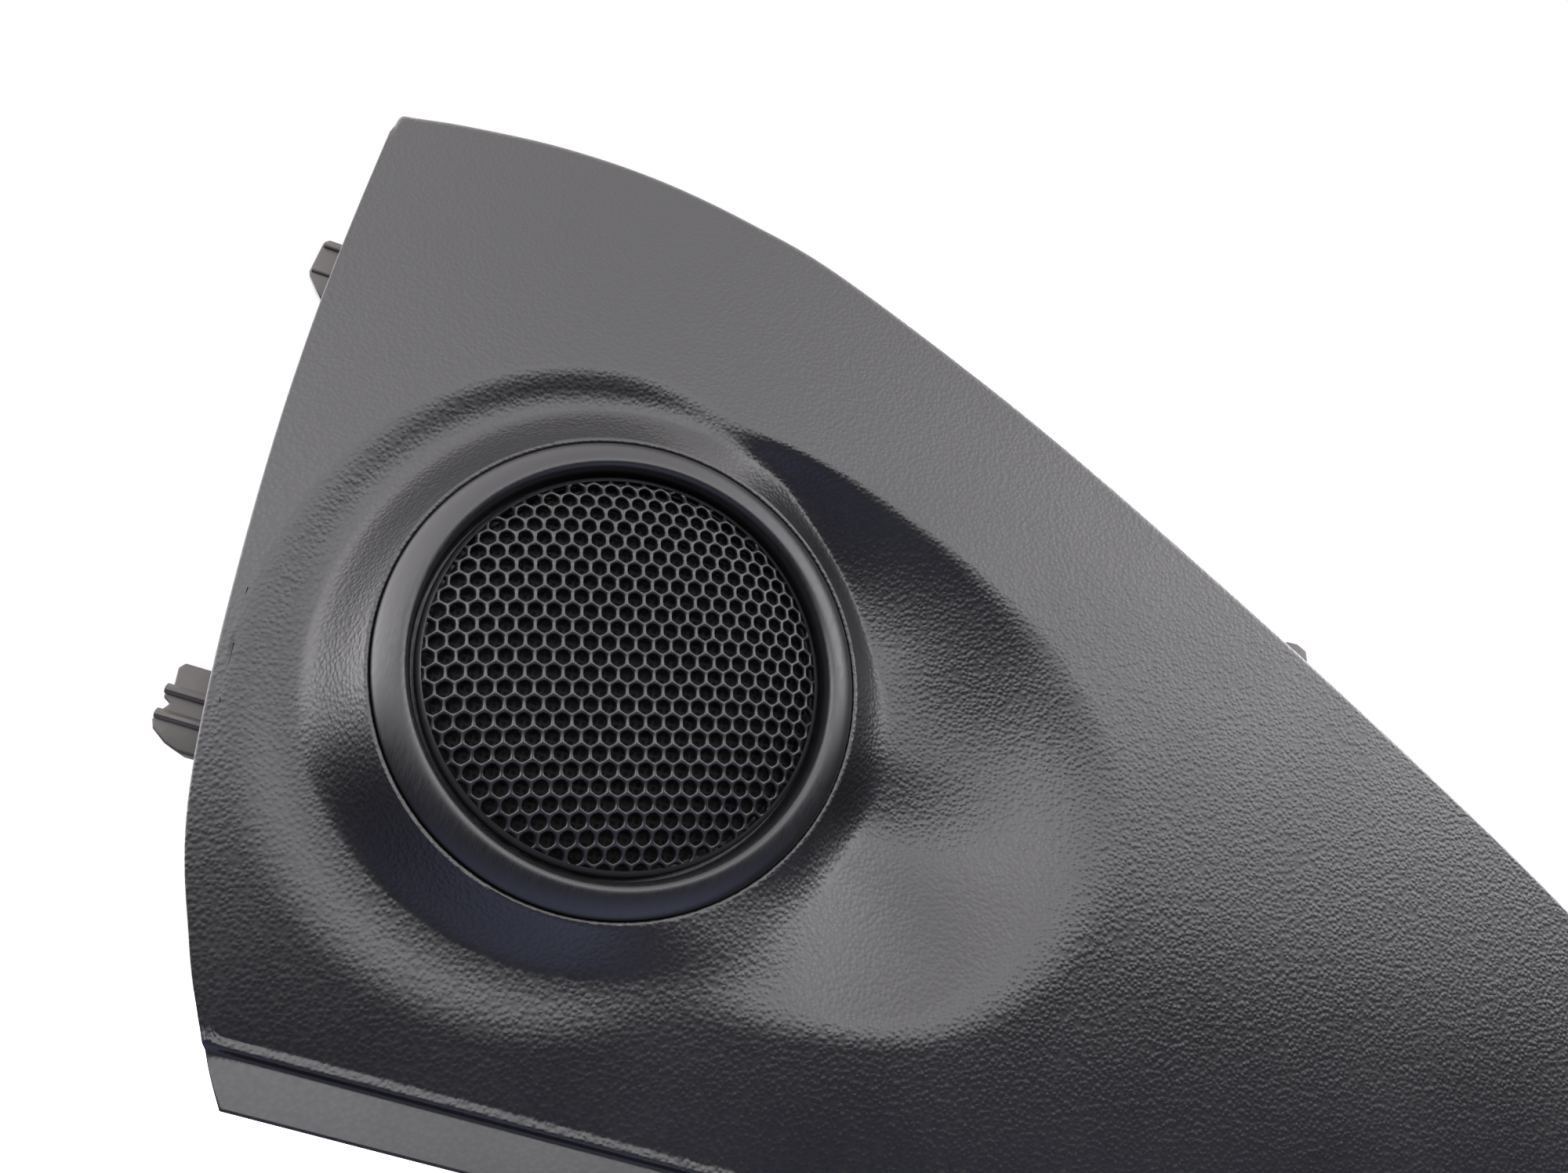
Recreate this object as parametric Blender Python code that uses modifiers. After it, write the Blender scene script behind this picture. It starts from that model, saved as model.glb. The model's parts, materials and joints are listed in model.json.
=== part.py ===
"""Car tweeter in its mirror-corner door trim.

Frame as fitted in a left front door: +X to the front of the car, +Z up, and the visible face towards -Y.
The origin is the centre of the flat end of the seat boss, where the trim rests on the door frame.
All lengths are in metres.
"""
import math
from bisect import bisect

import bmesh
import bpy
from mathutils import Matrix, Vector

MM = 0.001

# ---- where the tweeter sits and how it is aimed ----
TWEETER_X = -60.0 * MM
TWEETER_Y = -20.0 * MM
TWEETER_Z = 10.0 * MM
AIM_FORWARD = math.radians(8.4)
AIM_UP = math.radians(1.0)

# ---- trim panel, sizes seen from the tweeter's centre ----
PANEL_WALL = 2.2 * MM
SKIRT_DEPTH = 3.2 * MM
SKIRT_WALL = 1.8 * MM
CROWN_BEHIND_RING = 0.6 * MM
CROWN_TOP_Z = -5.0 * MM
CROWN_RADIUS_LOW = 200.0 * MM
CROWN_RADIUS_HIGH = 800.0 * MM
CROWN_RADIUS_LONG = 2500.0 * MM
RIDGE_Z = -46.9 * MM
FLANGE_Z = -53.4 * MM
BEAD_HEIGHT = 1.0 * MM
FLANGE_STEP = 0.9 * MM
FLANGE_KICK = 0.37
NOSE_X = 167.0 * MM
EDGE_ROLL = 1.6 * MM
EDGE_DROP = 1.2 * MM

# ---- the dish, its moat and the scoop around the bezel ----
LIP_SHOULDER = 0.5 * MM
FLANK_WIDTH = 5.9 * MM
FLANK_REACH = 3.0 * MM
SCOOP_ANGLE = 42.0
SCOOP_WIDTH = 30.0
# angle in degrees, then in millimetres the radius of the dish's rim and the depth of its floor
DISH = [(-150.0, 43.0, 1.5), (-120.0, 43.2, 1.4), (-90.0, 41.5, 0.9), (-65.0, 39.0, 0.2),
        (-48.0, 45.0, 1.5), (-30.0, 56.0, 4.8), (-14.0, 61.5, 8.2), (3.0, 62.0, 7.2),
        (17.0, 55.8, 7.0), (30.0, 48.5, 7.2), (45.0, 42.0, 6.4), (60.0, 38.4, 4.4),
        (74.0, 36.4, 2.1), (86.0, 36.2, 0.7), (110.0, 39.6, 1.6), (140.0, 41.3, 1.6),
        (180.0, 41.6, 1.4)]

# ---- bezel, grille and cloth, along the tweeter's own axis ----
BEZEL_RADIUS = 27.5 * MM
BEZEL_GAP = 0.4 * MM
BEZEL_CREST = 2.0 * MM
BEZEL_SKIRT = 2.7 * MM
GRILLE_RADIUS = BEZEL_RADIUS - 4.4 * MM
GRILLE_RISE = 3.69 * MM
GRILLE_THICKNESS = 1.0 * MM
CLOTH_RADIUS = GRILLE_RADIUS - 1.3 * MM
CLOTH_THICKNESS = 0.35 * MM
FIT_GAP = 0.35 * MM

# ---- drive unit ----
GASKET_THICKNESS = 0.7 * MM
FRAME_FLANGE_RADIUS = BEZEL_RADIUS + 0.7 * MM
FRAME_FLANGE = 1.6 * MM
FRAME_TUBE_RADIUS = 21.0 * MM
FRAME_WALL = 1.4 * MM
FRAME_DEPTH = 17.0 * MM
DOME_RADIUS = 12.5 * MM
DOME_RISE = 3.6 * MM
DOME_EDGE = -7.2 * MM
DOME_WALL = 0.4 * MM
SURROUND_RADIUS = 19.1 * MM
POLE_RADIUS = 11.8 * MM
FORMER_WALL = 0.3 * MM
COIL_WALL = 0.3 * MM
PLATE_TOP = -9.0 * MM
PLATE_THICKNESS = 3.0 * MM
MAGNET_RADIUS = 18.4 * MM
MAGNET_BORE = 14.2 * MM
MAGNET_THICKNESS = 6.0 * MM
YOKE_THICKNESS = 2.5 * MM
YOKE_RADIUS = 18.8 * MM
COVER_WALL = 1.2 * MM
COVER_BACK = -27.0 * MM
COVER_TOP = -15.4 * MM
ABSORBER_THICKNESS = 2.8 * MM

# ---- fixing the drive unit to the trim ----
BRACKET_TOP = -13.4 * MM
BRACKET_THICKNESS = 1.6 * MM
BRACKET_RADIUS = 25.0 * MM
POST_CIRCLE = BEZEL_RADIUS + 6.5 * MM
POST_RADIUS = 2.8 * MM
POST_BORE = 1.5 * MM
POST_ANGLES = (60.0, 180.0, 300.0)
SCREW_SHANK = 1.1 * MM
SCREW_HEAD = 2.7 * MM

# ---- electrical ----
SOCKET_LENGTH = 17.0 * MM
SOCKET_WIDTH = 9.5 * MM
SOCKET_DEPTH = 8.0 * MM
SOCKET_WALL = 1.0 * MM
PIN_SPREAD = 11.0 * MM
PIN_SIZE = 0.8 * MM
CAPACITOR_RADIUS = 3.2 * MM
CAPACITOR_LENGTH = 14.0 * MM
LEAD_RADIUS = 0.5 * MM

# ---- fixings of the trim itself ----
SEAT_RADIUS = 7.0 * MM
TOWER_LENGTH = 12.0 * MM
TOWER_WIDTH = 8.0 * MM
TOWER_END = -3.0 * MM
CLIP_STRIP = 0.7 * MM
FELT_THICKNESS = 1.2 * MM


def clear_scene():
    for old in list(bpy.data.objects):
        bpy.data.objects.remove(old, do_unlink=True)


def collection(name):
    made = bpy.data.collections.new(name)
    bpy.context.scene.collection.children.link(made)
    return made


clear_scene()
PARTS = collection("door_tweeter_trim")
CUTTERS = collection("cutters")


def material(name, colour, roughness, metallic=0.0):
    made = bpy.data.materials.new(name)
    made.use_nodes = True
    shader = made.node_tree.nodes["Principled BSDF"]
    shader.inputs["Base Color"].default_value = (*colour, 1.0)
    shader.inputs["Roughness"].default_value = roughness
    shader.inputs["Metallic"].default_value = metallic
    return made


GRAINED = material("grained_trim", (0.060, 0.058, 0.064), 0.55)
SATIN = material("satin_trim", (0.050, 0.050, 0.054), 0.35)
CLIP_PLASTIC = material("clip_plastic", (0.070, 0.064, 0.060), 0.50)
GRILLE_PLASTIC = material("grille_plastic", (0.012, 0.012, 0.013), 0.40)
CLOTH = material("acoustic_cloth", (0.010, 0.010, 0.010), 0.95)
FOAM = material("black_foam", (0.020, 0.020, 0.021), 0.95)
FRAME_PLASTIC = material("frame_plastic", (0.025, 0.025, 0.026), 0.50)
SILK = material("coated_silk", (0.030, 0.030, 0.034), 0.45)
FORMER = material("former_film", (0.55, 0.30, 0.10), 0.35)
COPPER = material("coil_wire", (0.80, 0.35, 0.16), 0.30, 1.0)
STEEL = material("plated_steel", (0.60, 0.60, 0.58), 0.30, 1.0)
FERRITE = material("ferrite", (0.060, 0.060, 0.062), 0.60)
FELT = material("grey_felt", (0.16, 0.16, 0.17), 0.95)
TIN = material("tinned_pin", (0.75, 0.74, 0.70), 0.25, 1.0)
FILM_CAP = material("capacitor_film", (0.45, 0.33, 0.05), 0.35)
INSULATION = material("lead_insulation", (0.35, 0.02, 0.02), 0.45)


# ------------------------------------------------------------------ helpers

def finish(obj, look, smooth=True):
    obj.data.materials.clear()
    obj.data.materials.append(look)
    if smooth:
        obj.data.shade_smooth()
        obj.data.set_sharp_from_angle(angle=math.radians(35.0))
    return obj


def mesh_object(name, bm, look, where=None):
    mesh = bpy.data.meshes.new(name)
    bm.to_mesh(mesh)
    bm.free()
    obj = bpy.data.objects.new(name, mesh)
    (where or PARTS).objects.link(obj)
    return finish(obj, look)


def turned(name, profile, look, parent=None, segments=32, closed=False, where=None):
    """Screw a profile of (radius, height) pairs about the local Z axis."""
    bm = bmesh.new()
    verts = [bm.verts.new((radius, 0.0, height)) for radius, height in profile]
    for first, second in zip(verts, verts[1:]):
        bm.edges.new((first, second))
    if closed:
        bm.edges.new((verts[-1], verts[0]))
    mesh = bpy.data.meshes.new(name)
    bm.to_mesh(mesh)
    bm.free()
    mesh.materials.append(look)
    obj = bpy.data.objects.new(name, mesh)
    (where or PARTS).objects.link(obj)
    obj.parent = parent
    screw = obj.modifiers.new("turn", 'SCREW')
    screw.steps = segments
    screw.render_steps = segments
    screw.use_merge_vertices = True
    screw.merge_threshold = 0.00001
    screw.use_smooth_shade = True
    return obj


def box(name, low, high, look, parent=None, where=None, bevel=0.0):
    """A box between two corners, with its edges rounded by a bevel."""
    bm = bmesh.new()
    bmesh.ops.create_cube(bm, size=1.0)
    low, high = Vector(low), Vector(high)
    size = high - low
    bmesh.ops.scale(bm, vec=size, verts=bm.verts)
    bmesh.ops.translate(bm, vec=(low + high) / 2.0, verts=bm.verts)
    if bevel:
        bmesh.ops.bevel(bm, geom=bm.edges[:], offset=bevel, segments=1, affect='EDGES')
    obj = mesh_object(name, bm, look, where)
    obj.parent = parent
    return obj


def plate(name, outlines, thickness, look, parent=None):
    """Extrude flat outlines in the local XY plane, centred on the plane, as one mesh."""
    curve = bpy.data.curves.new(name, 'CURVE')
    curve.dimensions = '2D'
    curve.fill_mode = 'BOTH'
    curve.extrude = thickness / 2.0
    for outline in outlines:
        spline = curve.splines.new('POLY')
        spline.points.add(len(outline) - 1)
        for point, (x, y) in zip(spline.points, outline):
            point.co = (x, y, 0.0, 1.0)
        spline.use_cyclic_u = True
    curve.materials.append(look)
    obj = bpy.data.objects.new(name, curve)
    PARTS.objects.link(obj)
    obj.parent = parent
    return obj


def wire(name, route, radius, look, parent=None):
    """A round wire along a smooth curve through hand-placed points."""
    curve = bpy.data.curves.new(name, 'CURVE')
    curve.dimensions = '3D'
    curve.bevel_depth = radius
    curve.bevel_resolution = 2
    curve.use_fill_caps = True
    smooth = spline_through([Vector(p) * MM for p in route], 4)
    spline = curve.splines.new('POLY')
    spline.points.add(len(smooth) - 1)
    for point, place in zip(spline.points, smooth):
        point.co = (*place, 1.0)
    curve.materials.append(look)
    obj = bpy.data.objects.new(name, curve)
    PARTS.objects.link(obj)
    obj.parent = parent
    return obj


def spline_through(points, steps):
    """Catmull-Rom curve through the points, with equal steps in each span."""
    result = []
    for i in range(len(points) - 1):
        before = points[max(i - 1, 0)]
        start, end = points[i], points[i + 1]
        after = points[min(i + 2, len(points) - 1)]
        for k in range(steps):
            t = k / steps
            result.append(0.5 * (2.0 * start + (end - before) * t
                                 + (2.0 * before - 5.0 * start + 4.0 * end - after) * t ** 2
                                 + (3.0 * start - before - 3.0 * end + after) * t ** 3))
    result.append(points[-1])
    return result


def join_on(obj, addition):
    """Weld another solid onto this one with an exact union."""
    addition.hide_render = True
    addition.display_type = 'WIRE'
    union = obj.modifiers.new(addition.name, 'BOOLEAN')
    union.operation = 'UNION'
    union.solver = 'EXACT'
    union.object = addition


def smooth(t):
    t = min(max(t, 0.0), 1.0)
    return t * t * (3.0 - 2.0 * t)


def bell(angle, centre, half_width, power=2.0):
    away = (angle - centre + 180.0) % 360.0 - 180.0
    return math.exp(-abs(away / half_width) ** power)


# ------------------------------------------------- the tweeter's own axis

def axis_frame():
    """Local +Z leaves the grille, local +X runs forward and local +Y runs up."""
    out = Vector((math.sin(AIM_FORWARD) * math.cos(AIM_UP),
                  -math.cos(AIM_FORWARD) * math.cos(AIM_UP), math.sin(AIM_UP)))
    up = (Vector((0.0, 0.0, 1.0)) - out * out.z).normalized()
    along = up.cross(out)
    turn = Matrix((along, up, out)).transposed().to_4x4()
    return Matrix.Translation((TWEETER_X, TWEETER_Y, TWEETER_Z)) @ turn


AXIS = bpy.data.objects.new("tweeter_axis", None)
AXIS.matrix_world = axis_frame()
PARTS.objects.link(AXIS)
SLIDE = bpy.data.objects.new("diaphragm_slide", None)
SLIDE.parent = AXIS
PARTS.objects.link(SLIDE)


# ------------------------------------------------------------- trim surface
# x and z are measured from the tweeter's centre; depth grows away from the viewer.

def crown_depth(x, z):
    rise = z - CROWN_TOP_Z
    radius = CROWN_RADIUS_HIGH if rise > 0.0 else CROWN_RADIUS_LOW
    return CROWN_BEHIND_RING + rise ** 2 / (2.0 * radius) + x ** 2 / (2.0 * CROWN_RADIUS_LONG)


def ring_depth(x, z):
    """The plane of the bezel's foot, tilted as the tweeter is aimed."""
    return math.tan(AIM_FORWARD) * x + math.tan(AIM_UP) / math.cos(AIM_FORWARD) * z


def dish_curve():
    """The dish's sizes for a full turn, drawn smoothly through the chosen angles."""
    turn = Vector((360.0, 0.0, 0.0))
    keys = [Vector(key) for key in DISH]
    return spline_through([key - turn for key in keys[-3:]] + keys + [key + turn for key in keys[:3]], 6)


DISH_CURVE = dish_curve()
DISH_ANGLES = [key.x for key in DISH_CURVE]


def dish_at(angle):
    """Radius of the dish's rim and depth of its floor at an angle."""
    i = bisect(DISH_ANGLES, angle)
    low, high = DISH_CURVE[i - 1], DISH_CURVE[i]
    found = low.lerp(high, (angle - low.x) / (high.x - low.x))
    return found.y * MM, found.z * MM


def scoop(angle):
    """One in the middle of the scoop's steep upper wall, none elsewhere."""
    return math.exp(-((angle - SCOOP_ANGLE) / SCOOP_WIDTH) ** 4)


def foot_radius(angle, rim):
    """Where the bezel's flank meets the dish's floor: farther out behind the tweeter."""
    away = (angle % 360.0 - 180.0) / 55.0
    foot = BEZEL_RADIUS + FLANK_WIDTH + FLANK_REACH * math.exp(-away ** 2) - 0.6 * FLANK_REACH * scoop(angle)
    return min(foot, 0.5 * (lip_radius() + LIP_SHOULDER + rim))


def lip_radius():
    return BEZEL_RADIUS + BEZEL_GAP


def trim_depth(x, z):
    """Depth of the trim's visible face: the crown, with the dish and the bezel's flank in it."""
    radius = math.hypot(x, z)
    angle = math.degrees(math.atan2(z, x))
    rim, floor = dish_at(angle)
    depth = crown_depth(x, z)
    if radius >= rim:
        return depth
    shoulder = lip_radius() + LIP_SHOULDER
    foot = foot_radius(angle, rim)
    inward = min((rim - radius) / (rim - foot), 1.0)
    depth += floor * (1.0 - (1.0 - inward) ** (2.0 - 0.85 * scoop(angle)))
    climb = min(max((foot - radius) / (foot - shoulder), 0.0), 1.0) ** 1.5
    return ring_depth(x, z) * climb + depth * (1.0 - climb)


def trim_outline():
    """The trim's edge, anticlockwise from the rear top corner as the viewer sees it."""
    rear = [(-51.0, 62.6), (-48.4, 31.2), (-44.6, 3.5), (-39.0, -25.0), (-33.3, -39.4)]
    low_corner = [(-28.2, -48.6), (-24.6, FLANGE_Z / MM)]
    nose = [(NOSE_X / MM - 8.0, FLANGE_Z / MM), (NOSE_X / MM - 2.0, -50.0), (NOSE_X / MM, -42.0),
            (NOSE_X / MM - 3.0, -30.0), (NOSE_X / MM - 12.0, -16.5), (NOSE_X / MM - 26.0, -4.0)]
    top = [(124.9, 7.5), (101.0, 20.9), (71.7, 36.2), (42.0, 50.9), (12.2, 63.3), (-2.4, 67.1),
           (-16.4, 69.0), (-29.7, 68.8), (-42.0, 66.9), (-49.4, 65.1)]
    points = spline_through([Vector(p) for p in rear + low_corner], 2)
    bottom_steps = 22
    start, end = Vector(low_corner[-1]), Vector(nose[0])
    points += [start.lerp(end, k / bottom_steps) for k in range(1, bottom_steps)]
    points += spline_through([Vector(p) for p in nose + top], 2)
    points.append(Vector((-50.8, 64.2)))
    return [p * MM for p in points]


def below_ridge(z):
    """Extra depth below the ridge line: a flat bead, a step back, and a flange that leans out again."""
    fall = max(RIDGE_Z - z, 0.0)
    bead = -0.32 * min(fall, BEAD_HEIGHT)
    return (bead + FLANGE_STEP * smooth((fall - BEAD_HEIGHT) / (0.8 * MM))
            - FLANGE_KICK * max(fall - BEAD_HEIGHT - 0.4 * MM, 0.0))


def trim_section(edge):
    """One closed section of the shell, from the bezel's lip to the edge, as (radius, depth) pairs."""
    out = edge.length
    along = edge / out
    ridge = out - EDGE_ROLL
    if along.y < 0.0:
        ridge = min(ridge, RIDGE_Z / along.y)

    def face(radius, drop=0.0):
        z = along.y * radius
        return radius, trim_depth(along.x * radius, z) + below_ridge(z) + drop

    lip = lip_radius()
    angle = math.degrees(math.atan2(along.y, along.x))
    rim, _ = dish_at(angle)
    shoulder = lip + LIP_SHOULDER
    foot = foot_radius(angle, rim)
    flank = [shoulder + (foot - shoulder) * t for t in (0.0, 0.35, 0.65, 1.0)]
    dish = [foot + (rim - foot) * t for t in (0.35, 0.7, 1.0)]
    field = [rim + (ridge - rim) * t for t in (0.33, 0.66, 1.0)]
    front = [face(lip)] + [face(r) for r in flank + dish + field]
    front += [face(ridge + 0.22 * (out - ridge)), face(ridge + 0.36 * (out - ridge)),
              face(out, 0.4 * EDGE_DROP)]
    back_end = front[-1][1] + SKIRT_DEPTH - EDGE_DROP
    inner = out - SKIRT_WALL
    inside = [(out, back_end), (inner, back_end)]
    back_radii = [min(ridge, inner) - 1.0 * MM, field[0], rim, dish[0], foot, flank[2], lip]
    return front + inside + [face(r, PANEL_WALL) for r in back_radii]


def trim_panel():
    edges = trim_outline()
    sections = [trim_section(edge) for edge in edges]
    around, rows = len(edges), len(sections[0])
    bm = bmesh.new()
    bmesh.ops.create_grid(bm, x_segments=around, y_segments=rows, size=0.5)
    for vert in bm.verts:
        i = round((vert.co.x + 0.5) * around) % around
        k = round((vert.co.y + 0.5) * rows) % rows
        radius, depth = sections[i][k]
        along = edges[i].normalized()
        vert.co = (TWEETER_X + along.x * radius, TWEETER_Y + depth, TWEETER_Z + along.y * radius)
    bmesh.ops.remove_doubles(bm, verts=bm.verts, dist=1e-7)
    bmesh.ops.recalc_face_normals(bm, faces=bm.faces)
    panel = mesh_object("trim_panel", bm, GRAINED)
    for number, angle in enumerate(POST_ANGLES):
        join_on(panel, screw_post(number + 1, angle))
    join_on(panel, seat_boss())
    join_on(panel, clip_tower("tower_front", *FRONT_TOWER))
    join_on(panel, clip_tower("tower_upper", *UPPER_TOWER))
    return panel


FRONT_TOWER = (118.0 * MM, -24.0 * MM)
UPPER_TOWER = (-18.0 * MM, 54.0 * MM)


def post_top(angle):
    """Height along the tweeter axis where a post meets the middle of the trim's wall."""
    turn = math.radians(angle)
    heights = []
    for reach in (-POST_RADIUS, 0.0, POST_RADIUS):
        x = (POST_CIRCLE + reach) * math.cos(turn)
        z = (POST_CIRCLE + reach) * math.sin(turn)
        heights.append((ring_depth(x, z) - trim_depth(x, z)) * math.cos(AIM_FORWARD))
    return min(heights) - 0.6 * PANEL_WALL


def screw_post(number, angle):
    end = BRACKET_TOP + 0.4 * MM
    top = post_top(angle)
    profile = [(0.0, top), (POST_RADIUS, top), (POST_RADIUS, end), (POST_BORE, end),
               (POST_BORE, top - 1.2 * MM), (0.0, top - 1.2 * MM)]
    post = turned("post_%d" % number, profile, GRAINED, AXIS, segments=16, where=CUTTERS)
    turn = math.radians(angle)
    post.location = (POST_CIRCLE * math.cos(turn), POST_CIRCLE * math.sin(turn), 0.0)
    return post


def seat_boss():
    """The boss whose flat end is the part's origin."""
    front = TWEETER_Y + trim_depth(-TWEETER_X, -TWEETER_Z) + 0.6 * PANEL_WALL
    bm = bmesh.new()
    bmesh.ops.create_cone(bm, cap_ends=True, cap_tris=True, segments=24, radius1=SEAT_RADIUS,
                          radius2=SEAT_RADIUS, depth=-front)
    bmesh.ops.rotate(bm, verts=bm.verts, matrix=Matrix.Rotation(math.radians(90.0), 3, 'X'))
    bmesh.ops.translate(bm, verts=bm.verts, vec=(0.0, front / 2.0, 0.0))
    for vert in bm.verts:
        wall = trim_depth(vert.co.x - TWEETER_X, vert.co.z - TWEETER_Z) + 0.5 * PANEL_WALL
        vert.co.y = max(vert.co.y, TWEETER_Y + wall)
    return mesh_object("seat_boss", bm, GRAINED, CUTTERS)


def clip_tower(name, x, z):
    front = TWEETER_Y + trim_depth(x, z) + 0.6 * PANEL_WALL
    centre = Vector((TWEETER_X + x, 0.0, TWEETER_Z + z))
    half = Vector((TOWER_LENGTH / 2.0, 0.0, TOWER_WIDTH / 2.0))
    return box(name, centre - half + Vector((0.0, front, 0.0)),
               centre + half + Vector((0.0, TOWER_END, 0.0)), GRAINED, where=CUTTERS)


# ------------------------------------------------------- bezel and grille

def bezel_ring():
    inner = GRILLE_RADIUS + FIT_GAP
    ledge = -(GRILLE_THICKNESS + 0.9 * MM)
    profile = [(24.7 * MM, BEZEL_CREST), (24.95 * MM, BEZEL_CREST - 0.24 * MM),
               (BEZEL_RADIUS - 1.3 * MM, 1.25 * MM), (BEZEL_RADIUS - 0.4 * MM, 0.6 * MM), (BEZEL_RADIUS, 0.0),
               (BEZEL_RADIUS, -BEZEL_SKIRT), (CLOTH_RADIUS + FIT_GAP, -BEZEL_SKIRT),
               (CLOTH_RADIUS + FIT_GAP, ledge), (inner + 0.1 * MM, ledge),
               (inner, -0.2 * MM), (24.2 * MM, BEZEL_CREST - 0.35 * MM)]
    return turned("bezel_ring", profile, SATIN, AXIS, segments=48, closed=True)


def grille_height(radius):
    """The grille is flat-topped: its fall grows with the fourth power of the radius."""
    return GRILLE_RISE * (1.0 - (radius / (GRILLE_RADIUS - 0.05 * MM)) ** 4)


def domed_disc(name, radius, thickness, sink, look):
    steps = 7
    radii = [radius * math.sqrt(k / steps) for k in range(steps + 1)]
    top = [(r, grille_height(r) - sink) for r in radii]
    bottom = [(r, h - thickness) for r, h in reversed(top)]
    return turned(name, top + bottom, look, AXIS, segments=36)


def grille_mesh():
    return domed_disc("grille_mesh", GRILLE_RADIUS, GRILLE_THICKNESS, 0.0, GRILLE_PLASTIC)


def acoustic_cloth():
    return domed_disc("acoustic_cloth", CLOTH_RADIUS, CLOTH_THICKNESS,
                      GRILLE_THICKNESS + FIT_GAP, CLOTH)


# ------------------------------------------------------------ drive unit

def ring(name, inner, outer, top, bottom, look, parent=AXIS, segments=32):
    profile = [(outer, top), (outer, bottom), (inner, bottom), (inner, top)]
    return turned(name, profile, look, parent, segments=segments, closed=True)


def disc(name, radius, top, bottom, look):
    return turned(name, [(0.0, top), (radius, top), (radius, bottom), (0.0, bottom)], look, AXIS)


def gasket_top():
    return -BEZEL_SKIRT - FIT_GAP


def flange_top():
    return gasket_top() - GASKET_THICKNESS - FIT_GAP


def foam_gasket():
    return ring("foam_gasket", CLOTH_RADIUS + 2.0 * MM, BEZEL_RADIUS - 0.3 * MM,
                gasket_top(), gasket_top() - GASKET_THICKNESS, FOAM, segments=36)


def tweeter_frame():
    top = flange_top()
    bore = FRAME_TUBE_RADIUS - FRAME_WALL
    profile = [(FRAME_FLANGE_RADIUS, top), (FRAME_FLANGE_RADIUS, top - FRAME_FLANGE),
               (FRAME_TUBE_RADIUS, top - FRAME_FLANGE), (FRAME_TUBE_RADIUS, -FRAME_DEPTH),
               (bore, -FRAME_DEPTH), (bore, top)]
    return turned("tweeter_frame", profile, FRAME_PLASTIC, AXIS, segments=36, closed=True)


def dome_diaphragm():
    steps = 5
    radii = [DOME_RADIUS * k / steps for k in range(steps + 1)]
    top = [(r, DOME_EDGE + DOME_RISE * (1.0 - (r / DOME_RADIUS) ** 2)) for r in radii]
    bottom = [(r, h - DOME_WALL) for r, h in reversed(top)]
    return turned("dome_diaphragm", top + bottom, SILK, SLIDE)


def surround_roll():
    """A half roll between the dome and the frame, with a flat rim at each side."""
    inner = DOME_RADIUS + FIT_GAP
    middle = (inner + 17.6 * MM) / 2.0
    half = 17.6 * MM - middle
    arc = [(middle + half * math.cos(a), DOME_EDGE + 0.75 * half * math.sin(a))
           for a in (math.pi * k / 8.0 for k in range(9))]
    top = [(SURROUND_RADIUS, DOME_EDGE)] + arc
    bottom = [(r, h - DOME_WALL) for r, h in reversed(top)]
    return turned("surround_roll", top[::-1] + bottom[::-1], SILK, AXIS, closed=True)


def coil_former():
    inner = POLE_RADIUS + FIT_GAP
    top = DOME_EDGE - DOME_WALL - FIT_GAP
    return ring("coil_former", inner, inner + FORMER_WALL, top, -11.8 * MM, FORMER, SLIDE)


def coil_inner():
    return POLE_RADIUS + 2.0 * FIT_GAP + FORMER_WALL


def voice_coil():
    return ring("voice_coil", coil_inner(), coil_inner() + COIL_WALL, PLATE_TOP + 0.1 * MM,
                PLATE_TOP - PLATE_THICKNESS + 0.4 * MM, COPPER, SLIDE)


def top_plate():
    return ring("top_plate", coil_inner() + COIL_WALL + FIT_GAP, YOKE_RADIUS, PLATE_TOP,
                PLATE_TOP - PLATE_THICKNESS, STEEL)


def magnet_top():
    return PLATE_TOP - PLATE_THICKNESS - FIT_GAP


def yoke_top():
    return magnet_top() - MAGNET_THICKNESS - FIT_GAP


def ring_magnet():
    return ring("ring_magnet", MAGNET_BORE, MAGNET_RADIUS, magnet_top(),
                magnet_top() - MAGNET_THICKNESS, FERRITE)


def pole_yoke():
    back = yoke_top() - YOKE_THICKNESS
    profile = [(0.0, PLATE_TOP), (POLE_RADIUS, PLATE_TOP), (POLE_RADIUS, yoke_top()),
               (YOKE_RADIUS, yoke_top()), (YOKE_RADIUS, back), (0.0, back)]
    return turned("pole_yoke", profile, STEEL, AXIS)


def damping_pad():
    bottom = PLATE_TOP + FIT_GAP
    return disc("damping_pad", POLE_RADIUS - 1.8 * MM, bottom + 0.8 * MM, bottom, FELT)


def rear_cover():
    inner = FRAME_TUBE_RADIUS + FIT_GAP
    outer = inner + COVER_WALL
    profile = [(0.0, COVER_BACK + COVER_WALL), (inner, COVER_BACK + COVER_WALL),
               (inner, COVER_TOP), (outer, COVER_TOP), (outer, COVER_BACK + 1.2 * MM),
               (outer - 1.2 * MM, COVER_BACK), (0.0, COVER_BACK)]
    return turned("rear_cover", profile, FRAME_PLASTIC, AXIS)


def rear_absorber():
    top = yoke_top() - YOKE_THICKNESS - 0.5 * MM
    return disc("rear_absorber", YOKE_RADIUS - 1.0 * MM, top, top - ABSORBER_THICKNESS, FELT)


# ---------------------------------------------------- bracket and screws

def circle(radius, count, centre=(0.0, 0.0)):
    return [(centre[0] + radius * math.cos(2.0 * math.pi * k / count),
             centre[1] + radius * math.sin(2.0 * math.pi * k / count)) for k in range(count)]


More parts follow.
